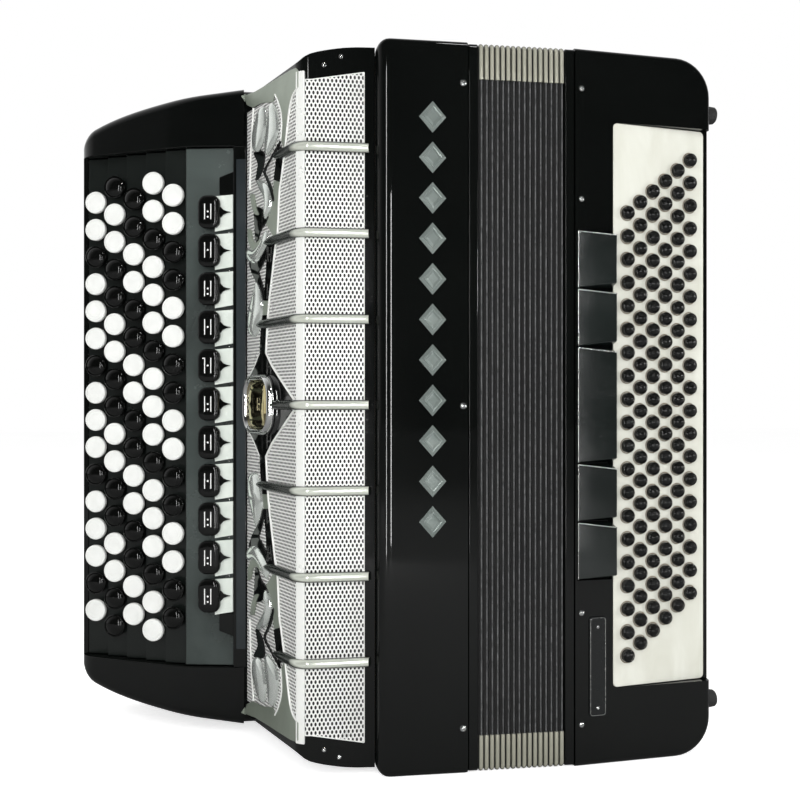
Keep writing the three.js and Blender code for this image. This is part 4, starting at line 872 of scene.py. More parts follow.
# bright corner strip and a fine bead along the screen's ends
trim = {"half": 2.6, "out": 1.9, "low": 20.5, "high": 424.5}
trimRuns = [middle - trim["half"] + 2 * trim["half"] * i / 6 for i in range(7)]
strip = outlineSolid([wrapPoint(run, trim["out"]) for run in reversed(trimRuns)]
                     + [wrapPoint(run, 0.1) for run in trimRuns], trim["low"], trim["high"])
softenEdges(strip, 0.35, 3, 40)
finishPiece(strip, "cornerTrim", "treble", trimSilver)

bars = {"count": 7, "pitch": 51.8, "start": 3.5, "radius": 3.1, "out": 1.2, "tip": 15, "lift": 1.9,
        "root": 0.4, "rootSize": 0.86, "middleReach": 33, "pastCurve": 13, "bendSteps": 14}
scrollCurve = {"reach": 57, "fall": 37, "half": 157, "power": 1.4}


def curveReach(height):
    share = abs(height) / scrollCurve["half"]
    return scrollCurve["reach"] - scrollCurve["fall"] * share ** scrollCurve["power"]


barPieces = []
for i in range(bars["count"]):
    height = (i - (bars["count"] - 1) / 2) * bars["pitch"]
    reach = curveReach(height) + bars["pastCurve"] if height else bars["middleReach"]
    last = sideStart + reach
    runs = wrapRuns(bars["start"], last - bars["tip"] if height else last, bars["bendSteps"])
    runs = [bars["start"], bars["start"] + bars["root"], *runs[2:]]
    tips = [bars["rootSize"]] + [1.0] * (len(runs) - 1)
    if height:
        for share in (0.15, 0.3, 0.45, 0.6, 0.75, 0.88, 0.96, 1.0):
            runs.append(last - bars["tip"] * (1 - share))
            tips.append(math.sqrt(max(1 - share ** 2, 0.02)) * 0.9 + 0.05)
    points = [(*wrapPoint(run, bars["out"] + bars["lift"] * (1 - tip)), grille["mid"] + height)
              for run, tip in zip(runs, tips)]
    barPieces.append(tubePiece([points], bars["radius"], tips=tips, resolution=6))
finishPiece(joined(barPieces), "grilleBars", "treble", barMetal, angle=50,
            replaces=("grille_bars",))
print("grille done")

# scrollwork on the grille's side, drawn for the upper half and mirrored

# The dark shapes are black lacquer put where there is only shade or a dark reflection: the shade shapes and
# the S-shaped stem are painted shadow round the leaves, and the dark band pieces are painted dark reflection
# along the bright band.
sideShapes = {      # outlines in (along the side, above the middle), what they are cut from, and their height
    "endPlate": ("olive", 0.7, [(90.6, 208.6), (84, 207.9), (70, 206.2), (49, 205.3), (30, 204.8),
                                (12, 204.2), (4, 203.2), (0.8, 201.2), (0.8, 190.7), (8.0, 188.5),
                                (12.8, 181.8), (16.3, 171.6), (20.5, 157.2), (26.0, 163.5), (25.2, 178.0),
                                (29.7, 187.8),
                                (36.1, 195.4), (39.9, 191.6), (58.8, 195.7), (74.3, 196.4), (85, 201)]),
    "leafA": ("leaf", 3.2, [(54.0, 192.1), (63.5, 190.9), (69.4, 183.5), (73.4, 176.4), (72.3, 168.8),
                            (67.3, 165.6),
                            (61.5, 165.4), (55.8, 170.4), (51.8, 177.9), (51.2, 182.8), (52.1, 188.1)]),
    "leafB": ("leaf", 3.2, [(39.9, 190.8), (45.5, 188.6), (47.4, 180.6), (50.4, 172.9), (52.0, 165.4),
                            (50.1, 160.8),
                            (46.4, 159.6), (39.9, 161.9), (33.5, 166.9), (30.7, 172.5), (31.8, 179.7),
                            (35.5, 186.9)]),
    "horn1": ("leaf", 2.6, [(66.4, 146.5), (57.9, 145.6), (47.4, 139.8), (43.0, 132.1), (43.2, 125.1),
                            (46.9, 121.0),
                            (51.1, 119.0), (53.0, 124.2), (51.4, 129.0), (54.6, 134.5), (61.5, 140.4)]),
    "horn2": ("leaf", 2.6, [(49.4, 111.5), (46.5, 104.9), (54.3, 98.4), (65.7, 92.8), (75.6, 93.4),
                            (82.0, 97.8),
                            (82.0, 104.2), (72.9, 102.3), (63.2, 104.4), (56.5, 108.4)]),
    "cup1": ("olive", 1.6, [(76.5, 139.3), (73.9, 130.8), (68.4, 125.0), (62.1, 123.8), (66.0, 128.2),
                            (70.0, 133.4),
                            (71.4, 138.0)]),
    "cup2": ("olive", 1.6, [(81.1, 117.0), (80.5, 109.2), (74.2, 102.8), (65.7, 101.2), (57.4, 105.4),
                            (58.8, 107.8),
                            (66.6, 105.9), (74.2, 109.4), (76.6, 115.0)]),
    "leafC": ("leaf", 3.4, [(67.0, 80.5), (59.6, 72.8), (56.2, 63.4), (59.1, 53.4), (67.4, 45.2),
                            (75.9, 46.4),
                            (81.4, 54.2), (79.8, 62.9), (73.8, 71.8), (69.0, 77.4)]),
    "stemShadowA": ("dark", 1.3, [(26.5, 164.5), (31.5, 162.4), (42.1, 157.2), (54.1, 150.6), (47.9, 142.5),
                            (41.6, 133.7),
                            (38.6, 128.4), (37.4, 130.8), (42.4, 139.0), (49.1, 146.0), (52.2, 150.2),
                            (44.0, 155.4),
                            (31.9, 160.5)]),
    "shadeA": ("dark", 1.0, [(72.4, 166.3), (59.6, 165.1), (53.5, 161.4), (55.2, 154.3), (61.1, 148.9),
                             (68.4, 146.9),
                             (66.7, 152.3), (65.2, 158.1)]),
    "shadeB": ("dark", 1.0, [(67.6, 129.5), (57.9, 127.1), (47.4, 119.7), (53.2, 116.1), (60.2, 113.1),
                             (65.6, 107.0),
                             (69.4, 108.7), (70.9, 119.1), (71.6, 126.1)]),
    "shadeC": ("dark", 1.0, [(80.1, 95.5), (66.6, 92.6), (57.9, 98.6), (48.2, 104.1), (49.8, 95.7),
                             (60.0, 88.4),
                             (63.4, 86.2), (58.4, 79.7), (53.0, 68.8), (57.0, 68.0), (64.0, 77.5),
                             (70.8, 82.8),
                             (77.5, 89.2)]),
    "bandA": ("dark", 0.9, [(29.7, 162.0), (20.2, 157.3), (26.5, 138.2), (38.0, 141.9), (34.5, 153.8)]),
    "bandB": ("olive", 0.7, [(38.6, 141.4), (26.5, 139.2), (29.2, 132.8), (32.1, 107.5), (39.4, 106.7),
                             (51.1, 116.1),
                             (44.4, 121.4), (39.7, 130.8)]),
    "bandC": ("dark", 0.9, [(49.4, 105.5), (32.6, 107.0), (35.8, 98.0), (45.5, 66.2), (55.0, 67.2),
                            (50.8, 86.0)]),
    "bandD": ("olive", 0.7, [(55.0, 67.2), (45.5, 66.2), (47.7, 57.4), (57.2, 58.0)]),
    "bandE": ("dark", 0.9, [(57.2, 58.0), (47.7, 57.4), (49.4, 46.6), (51.1, 33.2), (61.9, 33.6),
                            (60.1, 47.2)]),
}
straightShapes = ("endPlate", "bandA", "bandB", "bandC", "bandD", "bandE")
# dark: black lacquer patches for painted shadow and painted dark reflection
sideMetals = {"olive": ("satin_steel", oliveMetal), "leaf": ("chrome", leafMetal),
              "dark": ("black_plastic", lacquer)}


def domedShape(outline, low, rise):
    count = len(outline)        # the outline starts at a tip, so the two sides meet along a ridge
    partners = [outline[-i % count] for i in range(count)]
    ridge = [((x + u) / 2, (y + v) / 2) for (x, y), (u, v) in zip(outline, partners)]
    widths = [math.dist(a, b) for a, b in zip(outline, partners)]
    rings = [[(x, y, low) for x, y in outline]]
    for inward in (0, 0.1, 0.25, 0.45, 0.7, 1.0):
        lift = math.sqrt(1 - (1 - inward) ** 2)
        rings.append([(x + (u - x) * inward, y + (v - y) * inward,
                       low + 0.5 + lift * rise * math.sqrt(width / max(widths)))
                      for (x, y), (u, v), width in zip(outline, ridge, widths)])
    return loftPiece(rings)


def sideShape(name, mirror):
    metal, rise, points = sideShapes[name]
    outline = points if name in straightShapes else smoothOutline(points, 4)
    outline = [(x, y * mirror) for x, y in outline]
    if mirror < 0 and metal != "leaf":
        outline.reverse()
    if metal == "leaf":
        return placed(domedShape(outline, 0.05, rise), sideBoard)
    return placed(softenEdges(outlineSolid(outline, 0.02, rise), 0.25, 2, 40), sideBoard)


for side, mirror, node in (("upper", 1, "scroll_upper"), ("lower", -1, "scroll_lower")):
    for metal, (slotName, material) in sideMetals.items():
        shapes = [sideShape(name, mirror) for name in sideShapes if sideShapes[name][0] == metal]
        finishPiece(joined(shapes), f"{side}Scroll_{metal}", "treble", material, angle=28,
                    replaces=(node,) if metal == "leaf" else ())

boundary = [(1.2, 190.3), (8.0, 187.9), (12.8, 181.8), (16.3, 171.6), (20.5, 157.2), (26.5, 139.2),
            (29.2, 132.8), (32.1, 108.2), (35.8, 98.7), (40.6, 82.8), (45.5, 66.8), (47.7, 57.4),
            (49.4, 46.6), (51.1, 33.2), (41.1, 24.6), (23.3, 13.4), (2.0, 0.5)]
innerLine = [(26.5, 164.0), (25.2, 178.0), (29.7, 187.8), (36.1, 195.4)]
beadLines = (smoothOutline(boundary[:14], 3, False) + [Vector(p) for p in boundary[14:]],
             smoothOutline(innerLine, 4, False), ((72.8, 195.9), (75.5, 183.3), (78.2, 162.7), (79.5, 142.9)),
             ((61.4, 33.6), (71.9, 24.1), (84.0, 15.7)))
bead = {"radius": 0.75, "out": 0.5}
beads = [[(u, v * mirror, bead["out"]) for u, v in line] for mirror in (1, -1) for line in beadLines]
finishPiece(placed(tubePiece(beads, bead["radius"]), sideBoard), "sideBeads", "treble", trimSilver,
            angle=60)

# the olive end plates reach past the side board onto the keyboard body
wing = {"outline": ((-131.4, 208.8), (-133.2, 209.6), (-136.2, 208.2), (-133.6, 204.6), (-131.4, 200.4)),
        "inner": -93.1, "outer": -92.0}
wings = []
for mirror in (1, -1):
    outline = [(x, grille["mid"] + y * mirror) for x, y in wing["outline"]][::mirror]
    wings.append(placed(softenEdges(outlineSolid(outline, wing["inner"], wing["outer"]), 0.25, 2, 40),
                        throughY))
finishPiece(joined(wings), "endPlateWings", "treble", oliveMetal, angle=28)

# a bright line round the front sheet
sheetLine = {"start": 6.8, "first": 6.9, "inset": 0.4, "radius": 0.35}


def linePoint(run, side):
    return (*wrapPoint(run, 0), body["mid"] + side * (screenEnd(run) - sheetLine["inset"]))


lines = [[linePoint(run, mirror) for run in wrapRuns(sheetLine["first"], middle - trim["half"])]
         for mirror in (1, -1)]
lines.append([linePoint(sheetLine["start"], side) for side in (-1, 1)])
finishPiece(tubePiece(lines, sheetLine["radius"]), "sheetEdgeBeads", "treble", trimSilver, angle=60)

# dark diamond behind the badge, then its bezel and domed mirror
badge = {"centre": 58.5, "width": 46, "height": 39, "corner": 14.5, "rim": 4.2, "low": 1.3, "rise": 4.6}
diamondOutline = [(1.5, 0), (23.3, -13.9), (41.1, -24.6), (51.1, -33.2), (61.4, -33.6), (71.9, -24.1),
                  (85.0, -15), (85.0, 15), (71.9, 24.1), (61.4, 33.6), (51.1, 33.2), (41.1, 24.6),
                  (23.3, 13.9)]
inlay = softenEdges(outlineSolid(diamondOutline, 0.1, 0.95), 0.2, 2, 30)
finishPiece(placed(inlay, sideBoard), "badgeInlay", "treble", lacquer,
            replaces=("grille_inlay",))


def badgeOutline(inset, facets=10):
    halfWide, halfHigh = badge["width"] / 2 - inset, badge["height"] / 2 - inset
    return roundedRectangle(badge["centre"] - halfWide, -halfHigh, badge["centre"] + halfWide, halfHigh,
                            max(badge["corner"] - inset, 2), facets)


low, rise, rim = badge["low"], badge["rise"], badge["rim"]
rimShape = [(0, 0), (0.0, 0.35), (0.12, 0.7), (0.35, 0.93), (0.6, 1.0), (0.8, 0.86), (0.95, 0.55), (1.0, 0.1),
            (1.0, 0)]
bezel = loftPiece([[(*spotXY, low + rise * high) for spotXY in badgeOutline(rim * inward)]
                   for inward, high in rimShape], looped=True)
finishPiece(placed(bezel, sideBoard), "badgeBezel", "treble", chrome, angle=60,
            replaces=("badge_bezel",))
domeRings = [[(*spotXY, low + height) for spotXY in badgeOutline(rim + inward)]
             for inward, height in ((-0.1, 0), (-0.1, 1.2), (0.5, 1.9), (2.5, 2.6), (5.5, 3.0), (9.0, 3.2),
                                    (12.6, 3.3))]
finishPiece(placed(loftPiece(domeRings), sideBoard), "badgeMirror", "treble", goldMirror,
            angle=50, replaces=("badge_insert",))

screwAt([throughY @ spot(x, z, -8) @ turnedBy(30 + z) for x, z in ((-87.15, 428.7), (-76.9, 434.3),
                                                                   (-87.15, 16.4), (-78.0, 11.6))],
        "grilleCapScrews", "treble", 1.5)
print("scrollwork and badge done")

# keyboard body with the sunk deck

keyboard = {"outer": 247, "bend": 172, "blend": 12, "frontInner": 93.5, "frontBend": 100, "frontOuter": 143,
            "backInner": 190, "backOuter": 183, "endInset": 6.5, "drop": (15, 10), "dropPower": 5, "edge": 6,
            "outerRadius": 9}
deck = {"tilt": 20, "shelfTilt": 12, "rowSpacing": 16.1, "step": 3.7, "corner": (-180, 111), "thickness": 8,
        "inset": 46.5, "lip": 8.4, "shelf": 40.42, "chamfer": 2.2, "gap": 0.3}
arm = {"rings": 18, "endRings": 6, "share": 0.55, "lap": 4, "neckEdge": 7}
junction = wrapPoint(grilleRun, 0)


def bodyFront(reach):
    toBend = keyboard["bend"] + junction[0]
    first = (keyboard["frontBend"] - keyboard["frontInner"]) / toBend
    second = (keyboard["frontOuter"] - keyboard["frontBend"]) / (keyboard["outer"] - keyboard["bend"])
    past, blend = reach - toBend, keyboard["blend"]
    eased = (past + blend) ** 2 / (4 * blend) if abs(past) < blend else max(past, 0)
    return keyboard["frontInner"] + first * reach + (second - first) * eased


def bodyRing(x, front, back, half, inset, edge):
    return [(x, y, z) for y, z in roundedRectangle(front + inset, body["mid"] - half + inset, back - inset,
                                                   body["mid"] + half - inset, edge, 7)]


armStart = junction[0] - deck["gap"]
armSpan = keyboard["outer"] + armStart
armRings = []
for i in range(arm["rings"] + arm["endRings"] + 1):
    reach = (armSpan - keyboard["outerRadius"]) * i / arm["rings"]
    inset = 0
    if i > arm["rings"]:
        angle = math.pi / 2 * (i - arm["rings"]) / arm["endRings"]
        reach = armSpan - keyboard["outerRadius"] * (1 - math.sin(angle))
        inset = keyboard["outerRadius"] * (1 - math.cos(angle))
    share = reach / armSpan
    armRings.append(bodyRing(armStart - reach, bodyFront(reach),
                             keyboard["backInner"] + (keyboard["backOuter"] - keyboard["backInner"]) * share,
                             body["mid"] - keyboard["endInset"] - keyboard["drop"][0] * share
                             - keyboard["drop"][1] * share ** keyboard["dropPower"], inset,
                             keyboard["edge"] - inset * arm["share"]))
armPiece = loftPiece(armRings)
neck = loftPiece([bodyRing(x, grille["depth"] + deck["gap"], keyboard["backInner"],
                           body["mid"] - keyboard["endInset"], 0, arm["neckEdge"])
                  for x in (grille["back"], armStart - arm["lap"])])
deckTurn = math.radians(deck["tilt"])


def deckSpot(row, u, out):
    stepsOut = 4 - row
    x, y = -stepsOut * deck["rowSpacing"] - u, stepsOut * deck["step"] - out
    return (deck["corner"][0] + x * math.cos(deckTurn) + y * math.sin(deckTurn),
            deck["corner"][1] - x * math.sin(deckTurn) + y * math.cos(deckTurn))


shelfTurn = math.radians(deck["shelfTilt"])
shelfAlong = (-math.cos(shelfTurn), math.sin(shelfTurn))
shelfNormal = (-math.sin(shelfTurn), -math.cos(shelfTurn))
shelfEdge = deckSpot(4, -deck["rowSpacing"] / 2, deck["step"])
shelfCorner = (shelfEdge[0] - shelfAlong[0] * deck["shelf"], shelfEdge[1] - shelfAlong[1] * deck["shelf"])


def shelfSpot(u, out):
    return tuple(shelfCorner[k] + shelfAlong[k] * u + shelfNormal[k] * out for k in (0, 1))


shelfBoard = boardMatrix(shelfCorner, shelfAlong, shelfNormal)
half = deck["rowSpacing"] / 2
backInner = deckSpot(4, -half, -deck["thickness"])
first, last = deckSpot(0, 0, 0), deckSpot(4, 0, 0)
rowsOut = 4 + (deck["lip"] + half) / deck["rowSpacing"]
backOuter = tuple(backInner[k] + (first[k] - last[k]) / 4 * rowsOut for k in (0, 1))
steps = [deckSpot(row, u, 0) for row in (4, 3, 2, 1, 0) for u in (-half, half if row else deck["lip"])]
deckPlan = [shelfSpot(0, 0), shelfSpot(deck["shelf"], 0)] + steps + [backOuter, backInner,
                                                                     shelfSpot(0, -deck["thickness"])]
gap = deck["gap"]
beyondLip = deckSpot(0, deck["lip"] + 20, 0)
recessPlan = [shelfSpot(-gap, 40), shelfSpot(-gap, 0), shelfSpot(-gap, -deck["thickness"] - gap),
              (backInner[0], backInner[1] + gap), (backOuter[0] - gap, backOuter[1] + gap),
              deckSpot(0, deck["lip"] + gap, 0), beyondLip, (beyondLip[0], 40)]
applyModifier(armPiece, "BOOLEAN", object=neck, operation="UNION", solver="EXACT")
bpy.data.objects.remove(neck)
recessEnds = (deck["inset"] - gap, body["height"] - deck["inset"] + gap)
cutAway(armPiece, outlineSolid(recessPlan, *recessEnds))
for level in recessEnds:        # a wide chamfer at both ends of the opening
    pickEdges(armPiece, lambda a, b: abs(a.z - level) < 0.01 and abs(b.z - level) < 0.01 and all(
        abs(end.y - bodyFront(armStart - end.x)) < 0.4 for end in (a, b)))
    bevelPicked(armPiece, deck["chamfer"], 3)
softenEdges(armPiece, 0.5, 2, 45)
finishPiece(armPiece, "keyboardBody", "treble", lacquer, angle=32,
            replaces=("keyboard_body",))

steppedDeck = outlineSolid(deckPlan, deck["inset"], body["height"] - deck["inset"])
softenEdges(steppedDeck, 0.5, 2, 15)
finishPiece(steppedDeck, "steppedDeck", "treble", deckBlack, replaces=("fingerboard",))

shelf = {"start": 0.4, "stop": 39.6, "inset": 0.6, "low": -0.6, "high": 0.3}
shelfHalf = body["mid"] - deck["inset"] - shelf["inset"]
shelfSheet = outlineSolid(rectangle(shelf["start"], -shelfHalf, shelf["stop"], shelfHalf), shelf["low"],
                          shelf["high"])
softenEdges(shelfSheet, 0.2, 2)
# the shelf's lighter patches come from its material: painted sheen
finishPiece(placed(shelfSheet, shelfBoard), "registerShelf", "treble", shelfGreyPaintedSheen)

# treble buttons

trebleButtons = {"radius": 7.7, "lift": 4, "top": 7, "pitch": 19.2, "stem": 3.2, "moving": 5,
                 "rows": ("WWBWWWBWWWBWWWBW", "BWWBBWWBBWWBBWWBB", "BBWWBBWWBBWWBBWW", "WWBWWWBWWWBWWWBWW",
                          "WWBBWWBBWWBBWWBB")}     # outer row first, each from its top button down


def buttonShape(colour):
    radius, lift, top, stem = (trebleButtons[key] for key in ("radius", "lift", "top", "stem"))
    if colour == "W":       # flat disc with turned rings
        profile = [(0, 0.02), (stem, 0.02), (stem, lift), (radius - 0.3, lift), (radius, lift + 0.3),
                   (radius, top - 0.9), (radius - 0.25, top - 0.35), (radius - 0.9, top), (radius - 1.5, top),
                   (radius - 1.75, top - 0.22), (radius - 2.0, top - 0.02), (4.1, top - 0.02),
                   (3.9, top - 0.14), (3.7, top - 0.03), (0, top - 0.05)]
    else:                   # glossy dome inside a narrow rim
        profile = [(0, 0.02), (stem, 0.02), (stem, lift), (radius - 0.3, lift), (radius, lift + 0.3),
                   (radius, top - 1.0), (radius - 0.3, top - 0.65), (radius - 0.75, top - 0.6),
                   (radius - 1.0, top - 0.95), (radius - 1.3, top - 0.75), (radius - 2.0, top - 0.2),
                   (radius - 3.0, top + 0.35), (radius - 4.2, top + 0.78), (radius - 5.6, top + 1.05),
                   (radius - 6.8, top + 1.14), (0, top + 1.16)]
    return turnedPiece(profile, 36)


def treadMatrix(row, level):
    x, y = deckSpot(row, 0, 0)
    along = (-math.cos(deckTurn), math.sin(deckTurn))
    normal = (-math.sin(deckTurn), -math.cos(deckTurn))
    return boardMatrix((x, y), along, normal, body["mid"] + level)


buttonLooks = {"W": ("White", "white_pearl", buttonWhite), "B": ("Black", "black_plastic", buttonBlack)}
for row, colours in enumerate(trebleButtons["rows"]):
    count = len(colours)
    levels = [(i - (count - 1) / 2) * trebleButtons["pitch"] for i in range(count)]
    moving = trebleButtons["moving"] + row
    for colour, (label, slotName, material) in buttonLooks.items():
        spots = [treadMatrix(row, levels[i])
                 for i in range(count) if colours[count - 1 - i] == colour and i != moving]
        finishPiece(copies(buttonShape(colour), spots), f"buttonRow{row + 1}{label}", "treble",
                    material, angle=40)
        if colours[count - 1 - moving] == colour:
            name = f"treble_button_row_{row + 1}"
            finishPiece(placed(buttonShape(colour), treadMatrix(row, levels[moving])),
                        f"pressButtonRow{row + 1}", name, material, angle=40, replaces=(name,))
print("treble buttons done")

# register switches and their rail

registers = {"count": 11, "pitch": 25.9, "shift": 1.8, "pad": (15, 30, 22.4, 5.5), "padLow": 2.4,
             "padTop": 8.4, "plate": ((19, -13.0), (19, 11.0), (6.6, 12.0), (6.6, -10.9)), "plateLow": 3,
             "plateTop": 4.5, "spike": ((16.2, 5.2), (14.6, 3.4), (12.8, 1.5), (10.5, 0.6), (8.3, 0.12)),
             "mark": {"apart": 2.1, "half": 0.32, "reach": 5.2}}
registerMarks = ["II:", "IJ:", "I:I", "II.", "I.I", "II:", "J.I", "II.", "I:I", "IJ.", "II:"]


def registerPad(mark):
    left, right, high, corner = registers["pad"]
    low, top = registers["padLow"], registers["padTop"]
    pad = outlineSolid(roundedRectangle(left, -high / 2, right, high / 2, corner, 6), low, top - 2.1)
    pickTop(pad)
    insetPicked(((0.2, 0.6), (0.35, 0.5), (0.55, 0.42), (0.8, 0.3), (1.1, 0.18), (1.3, 0.1)))
    middle = (left + right) / 2 + 0.4
    apart, half, reach = (registers["mark"][key] for key in ("apart", "half", "reach"))
    lines = []
    for offset, sign in ((apart, mark[0]), (-apart, mark[-1] if mark[-1] in "IJ" else "I")):
        lines.append(blockPiece((middle + offset - half, -reach, top - 0.4),
                                (middle + offset + half, reach, top + 0.05)))
        if sign == "J":
            lines.append(blockPiece((middle + offset - half, reach - 0.7, top - 0.4),
                                    (middle + offset + 1.6, reach, top + 0.05)))
    for level in ((0, -3.6) if ":" in mark else (0,)):
        lines.append(placed(turnedPiece([(0, -0.3), (0.65, -0.3), (0.65, 0.02), (0.3, 0.1), (0, 0.12)], 10),
                            spot(middle, level, top)))
    thorn = registers["spike"]
    spike = outlineSolid([(u, -v) for u, v in thorn] + [(u, v) for u, v in reversed(thorn)],
                         registers["plateTop"] - 0.4, registers["plateTop"] + 1.1)
    pickTop(spike)
    insetPicked(((0.1, 0.15),))
    return joined([pad, spike]), joined(lines)


def registerPlate():
    return softenEdges(outlineSolid(registers["plate"], registers["plateLow"], registers["plateTop"]), 0.2, 2)


for i in range(registers["count"]):
    level = registers["shift"] + (i - (registers["count"] - 1) / 2) * registers["pitch"]
    place = shelfBoard @ spot(0, level)
    name = f"treble_register_{i + 1}"
    pad, lines = registerPad(registerMarks[i])
    finishPiece(placed(pad, place), f"registerPad{i + 1}", name, buttonBlack,
                replaces=(name,))
    finishPiece(placed(lines, place), f"registerMarks{i + 1}", name, inlayWhite)
    finishPiece(placed(registerPlate(), place), f"registerPlate{i + 1}", name, plateWhite)

rail = {"section": ((0.3, 0.05), (6.3, 0.05), (6.3, 6), (-3.2, 6), (-3.2, 3.4), (0.3, 3.0)), "gap": 0.2,
        "rise": 6, "length": 330, "face": (-2.4, 4.0), "faceSunk": 0.4, "faceProud": 0.25, "stopStart": 3,
        "stopReach": 16, "stopHeight": 17, "stopInset": 15.2, "stopRise": 4.5, "slant": 5}
barHalf = rail["length"] / 2
rod = outlineSolid([shelfSpot(u, out) for u, out in rail["section"]], deck["inset"] + rail["gap"],
                   body["height"] - deck["inset"] - rail["gap"])
softenEdges(rod, 1.2, 4, 40)
# a lighter bluish strip along the rail's top stands in for its reflection: painted reflection
faceOutline = rectangle(rail["face"][0], registers["shift"] - barHalf, rail["face"][1],
                        registers["shift"] + barHalf)
facing = outlineSolid(faceOutline, rail["rise"] - rail["faceSunk"], rail["rise"] + rail["faceProud"])
softenEdges(facing, 0.2, 2)
finishPiece(placed(facing, shelfBoard), "registerRailPaintedReflection", "treble", railPaintedReflection)
stops = []
for side in (-1, 1):
    centre = registers["shift"] + side * (barHalf - rail["stopInset"])
    reach, tall = rail["stopReach"], rail["stopHeight"] / 2
    slant, far = rail["slant"], side * tall
    corners = [(rail["stopStart"], centre - far), (reach, centre - far), (reach, centre + far - side * slant),
               (rail["stopStart"], centre + far)]
    stop = outlineSolid(corners[::side], 0.05, rail["stopRise"])
    softenEdges(stop, 0.6, 3, 40)
    stops.append(placed(stop, shelfBoard))
finishPiece(joined([rod, *stops]), "registerRail", "treble", lacquer,
            replaces=("register_rail",))
between = [registers["shift"] + (i - registers["count"] / 2) * registers["pitch"]
           for i in range(1, registers["count"])]
screwAt([shelfBoard @ spot(10, level) @ turnedBy(70 * i) for i, level in enumerate(between, 1)],
        "registerScrews", "treble", 0.9)
print("registers done")

# bellows: folded cloth, piping on each fold and metal corners

bellows = {"start": 6.6, "folds": 16, "pitch": 3.4, "inset": 1.0, "front": 3.0, "cloth": 1.4, "corner": 6}
foldProfile = ((0.0, 18.0), (0.16, 1.9), (0.27, 0.75), (0.4, 0.15), (0.5, 0.0), (0.6, 0.15), (0.73, 0.75),
               (0.84, 1.9))


def bellowsRing(x, inset):
    corner = max(bellows["corner"] - max(inset - bellows["inset"], 0) * 0.25, 1.5)
    return [(x, y, z) for y, z in caseOutline(inset, corner, 5, min(corner, bellows["front"]))]


outer, inner = [], []
for fold in range(bellows["folds"] + 1):
    for share, depth in foldProfile if fold < bellows["folds"] else foldProfile[:1]:
        x = bellows["start"] + (fold + share) * bellows["pitch"]
        outer.append(bellowsRing(x, bellows["inset"] + depth))
        inner.append(bellowsRing(x, bellows["inset"] + depth + bellows["cloth"]))
clothPiece = loftPiece(outer + inner[::-1], looped=True)


def bendWithBellows(piece):
    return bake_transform(piece)


bendWithBellows(finishPiece(clothPiece, "bellowsCloth", None, cloth, angle=70,
                            replaces=("bellows",), flats=False))
crests = [bellows["start"] + (fold + 0.5) * bellows["pitch"] for fold in range(bellows["folds"])]
piping = tubePiece([bellowsRing(x, bellows["inset"] - 0.05) for x in crests], 0.4, closed=True, resolution=1)
bendWithBellows(finishPiece(piping, "bellowsPiping", None, pipingGrey, angle=80,
                            flats=False))

ribs = {"reach": 22.5, "radius": 1.36, "inset": 1.5, "bends": (2.4, 5.2), "tip": 0.5, "tipSize": 0.92}
ribPaths = []
for x in crests:
    for yEnd in (0, 1):
        for zEnd in (0, 1):
            inset, reach, tip, bend = ribs["inset"], ribs["reach"], ribs["tip"], ribs["bends"][yEnd]
            path = [(reach, inset), (reach - tip, inset)]
            path += [(inset + bend - bend * sine(a), inset + bend - bend * cosine(a))
                     for a in range(0, 91, 15)]
            path += [(inset, reach - tip), (inset, reach)]
            ribPaths.append([(x, y if yEnd == 0 else body["depth"] - y,
                              z if zEnd == 0 else body["height"] - z) for y, z in path])
ribTips = [ribs["tipSize"]] + [1.0] * (len(ribPaths[0]) - 2) + [ribs["tipSize"]]
ribPiece = tubePiece(ribPaths, ribs["radius"], tips=ribTips, resolution=2)
bendWithBellows(finishPiece(ribPiece, "bellowsCorners", None, ribMetal, angle=60, flats=False))

bellowsFrame = {"starts": {"treble": 0.3, "bass": 61.3}, "thickness": 6, "inset": 0.7, "corner": 7,
                "front": 2.6, "opening": 27}
for side, left in bellowsFrame["starts"].items():
    outline = caseOutline(bellowsFrame["inset"], bellowsFrame["corner"], 6, bellowsFrame["front"])
    ring = placed(outlineSolid(outline, left, left + bellowsFrame["thickness"]), alongX)
    opening = caseOutline(bellowsFrame["opening"], bellowsFrame["corner"])
    cutAway(ring, placed(outlineSolid(opening, left - 3, left + bellowsFrame["thickness"] + 3), alongX))
    softenEdges(ring, 0.7, 3, 50)
    finishPiece(ring, f"{side}BellowsFrame", side, lacquer,
                replaces=(f"{side}_bellows_frame",))
print("bellows done")

# bass box

plate = {"start": 25.6, "drop": 2.735, "run": 66.61, "turn": 10.63, "height": 352.6, "shift": 1.3,
         "thickness": 3, "clear": 4, "corner": 3}
seatGap = 0.3       # between a seated piece and the wall round it
plateTurn = math.radians(plate["turn"])
plateBoard = boardMatrix((bassLeft + plate["start"], plate["drop"]),
                         (math.cos(plateTurn), math.sin(plateTurn)),
                         (math.sin(plateTurn), -math.cos(plateTurn)))
endBoard = boardMatrix((bassRight, 0), (0, 1), (1, 0))


def boxOutline(inset):
    x, radius = bassRight - bassCase["corner"], bassCase["corner"] - inset
    made = [(bassLeft, inset)]
    for z, start in ((bassCase["corner"], -90), (body["height"] - bassCase["corner"], 0)):
        made += [(x + radius * cosine(start + 9 * i), z + radius * sine(start + 9 * i))
                 for i in range(11)]
    return made + [(bassLeft, body["height"] - inset)]


def plateOutline(grow):
    halfHigh = plate["height"] / 2 + grow
    return roundedRectangle(-grow, plate["shift"] - halfHigh, plate["run"] + grow, plate["shift"] + halfHigh,
                            plate["corner"])


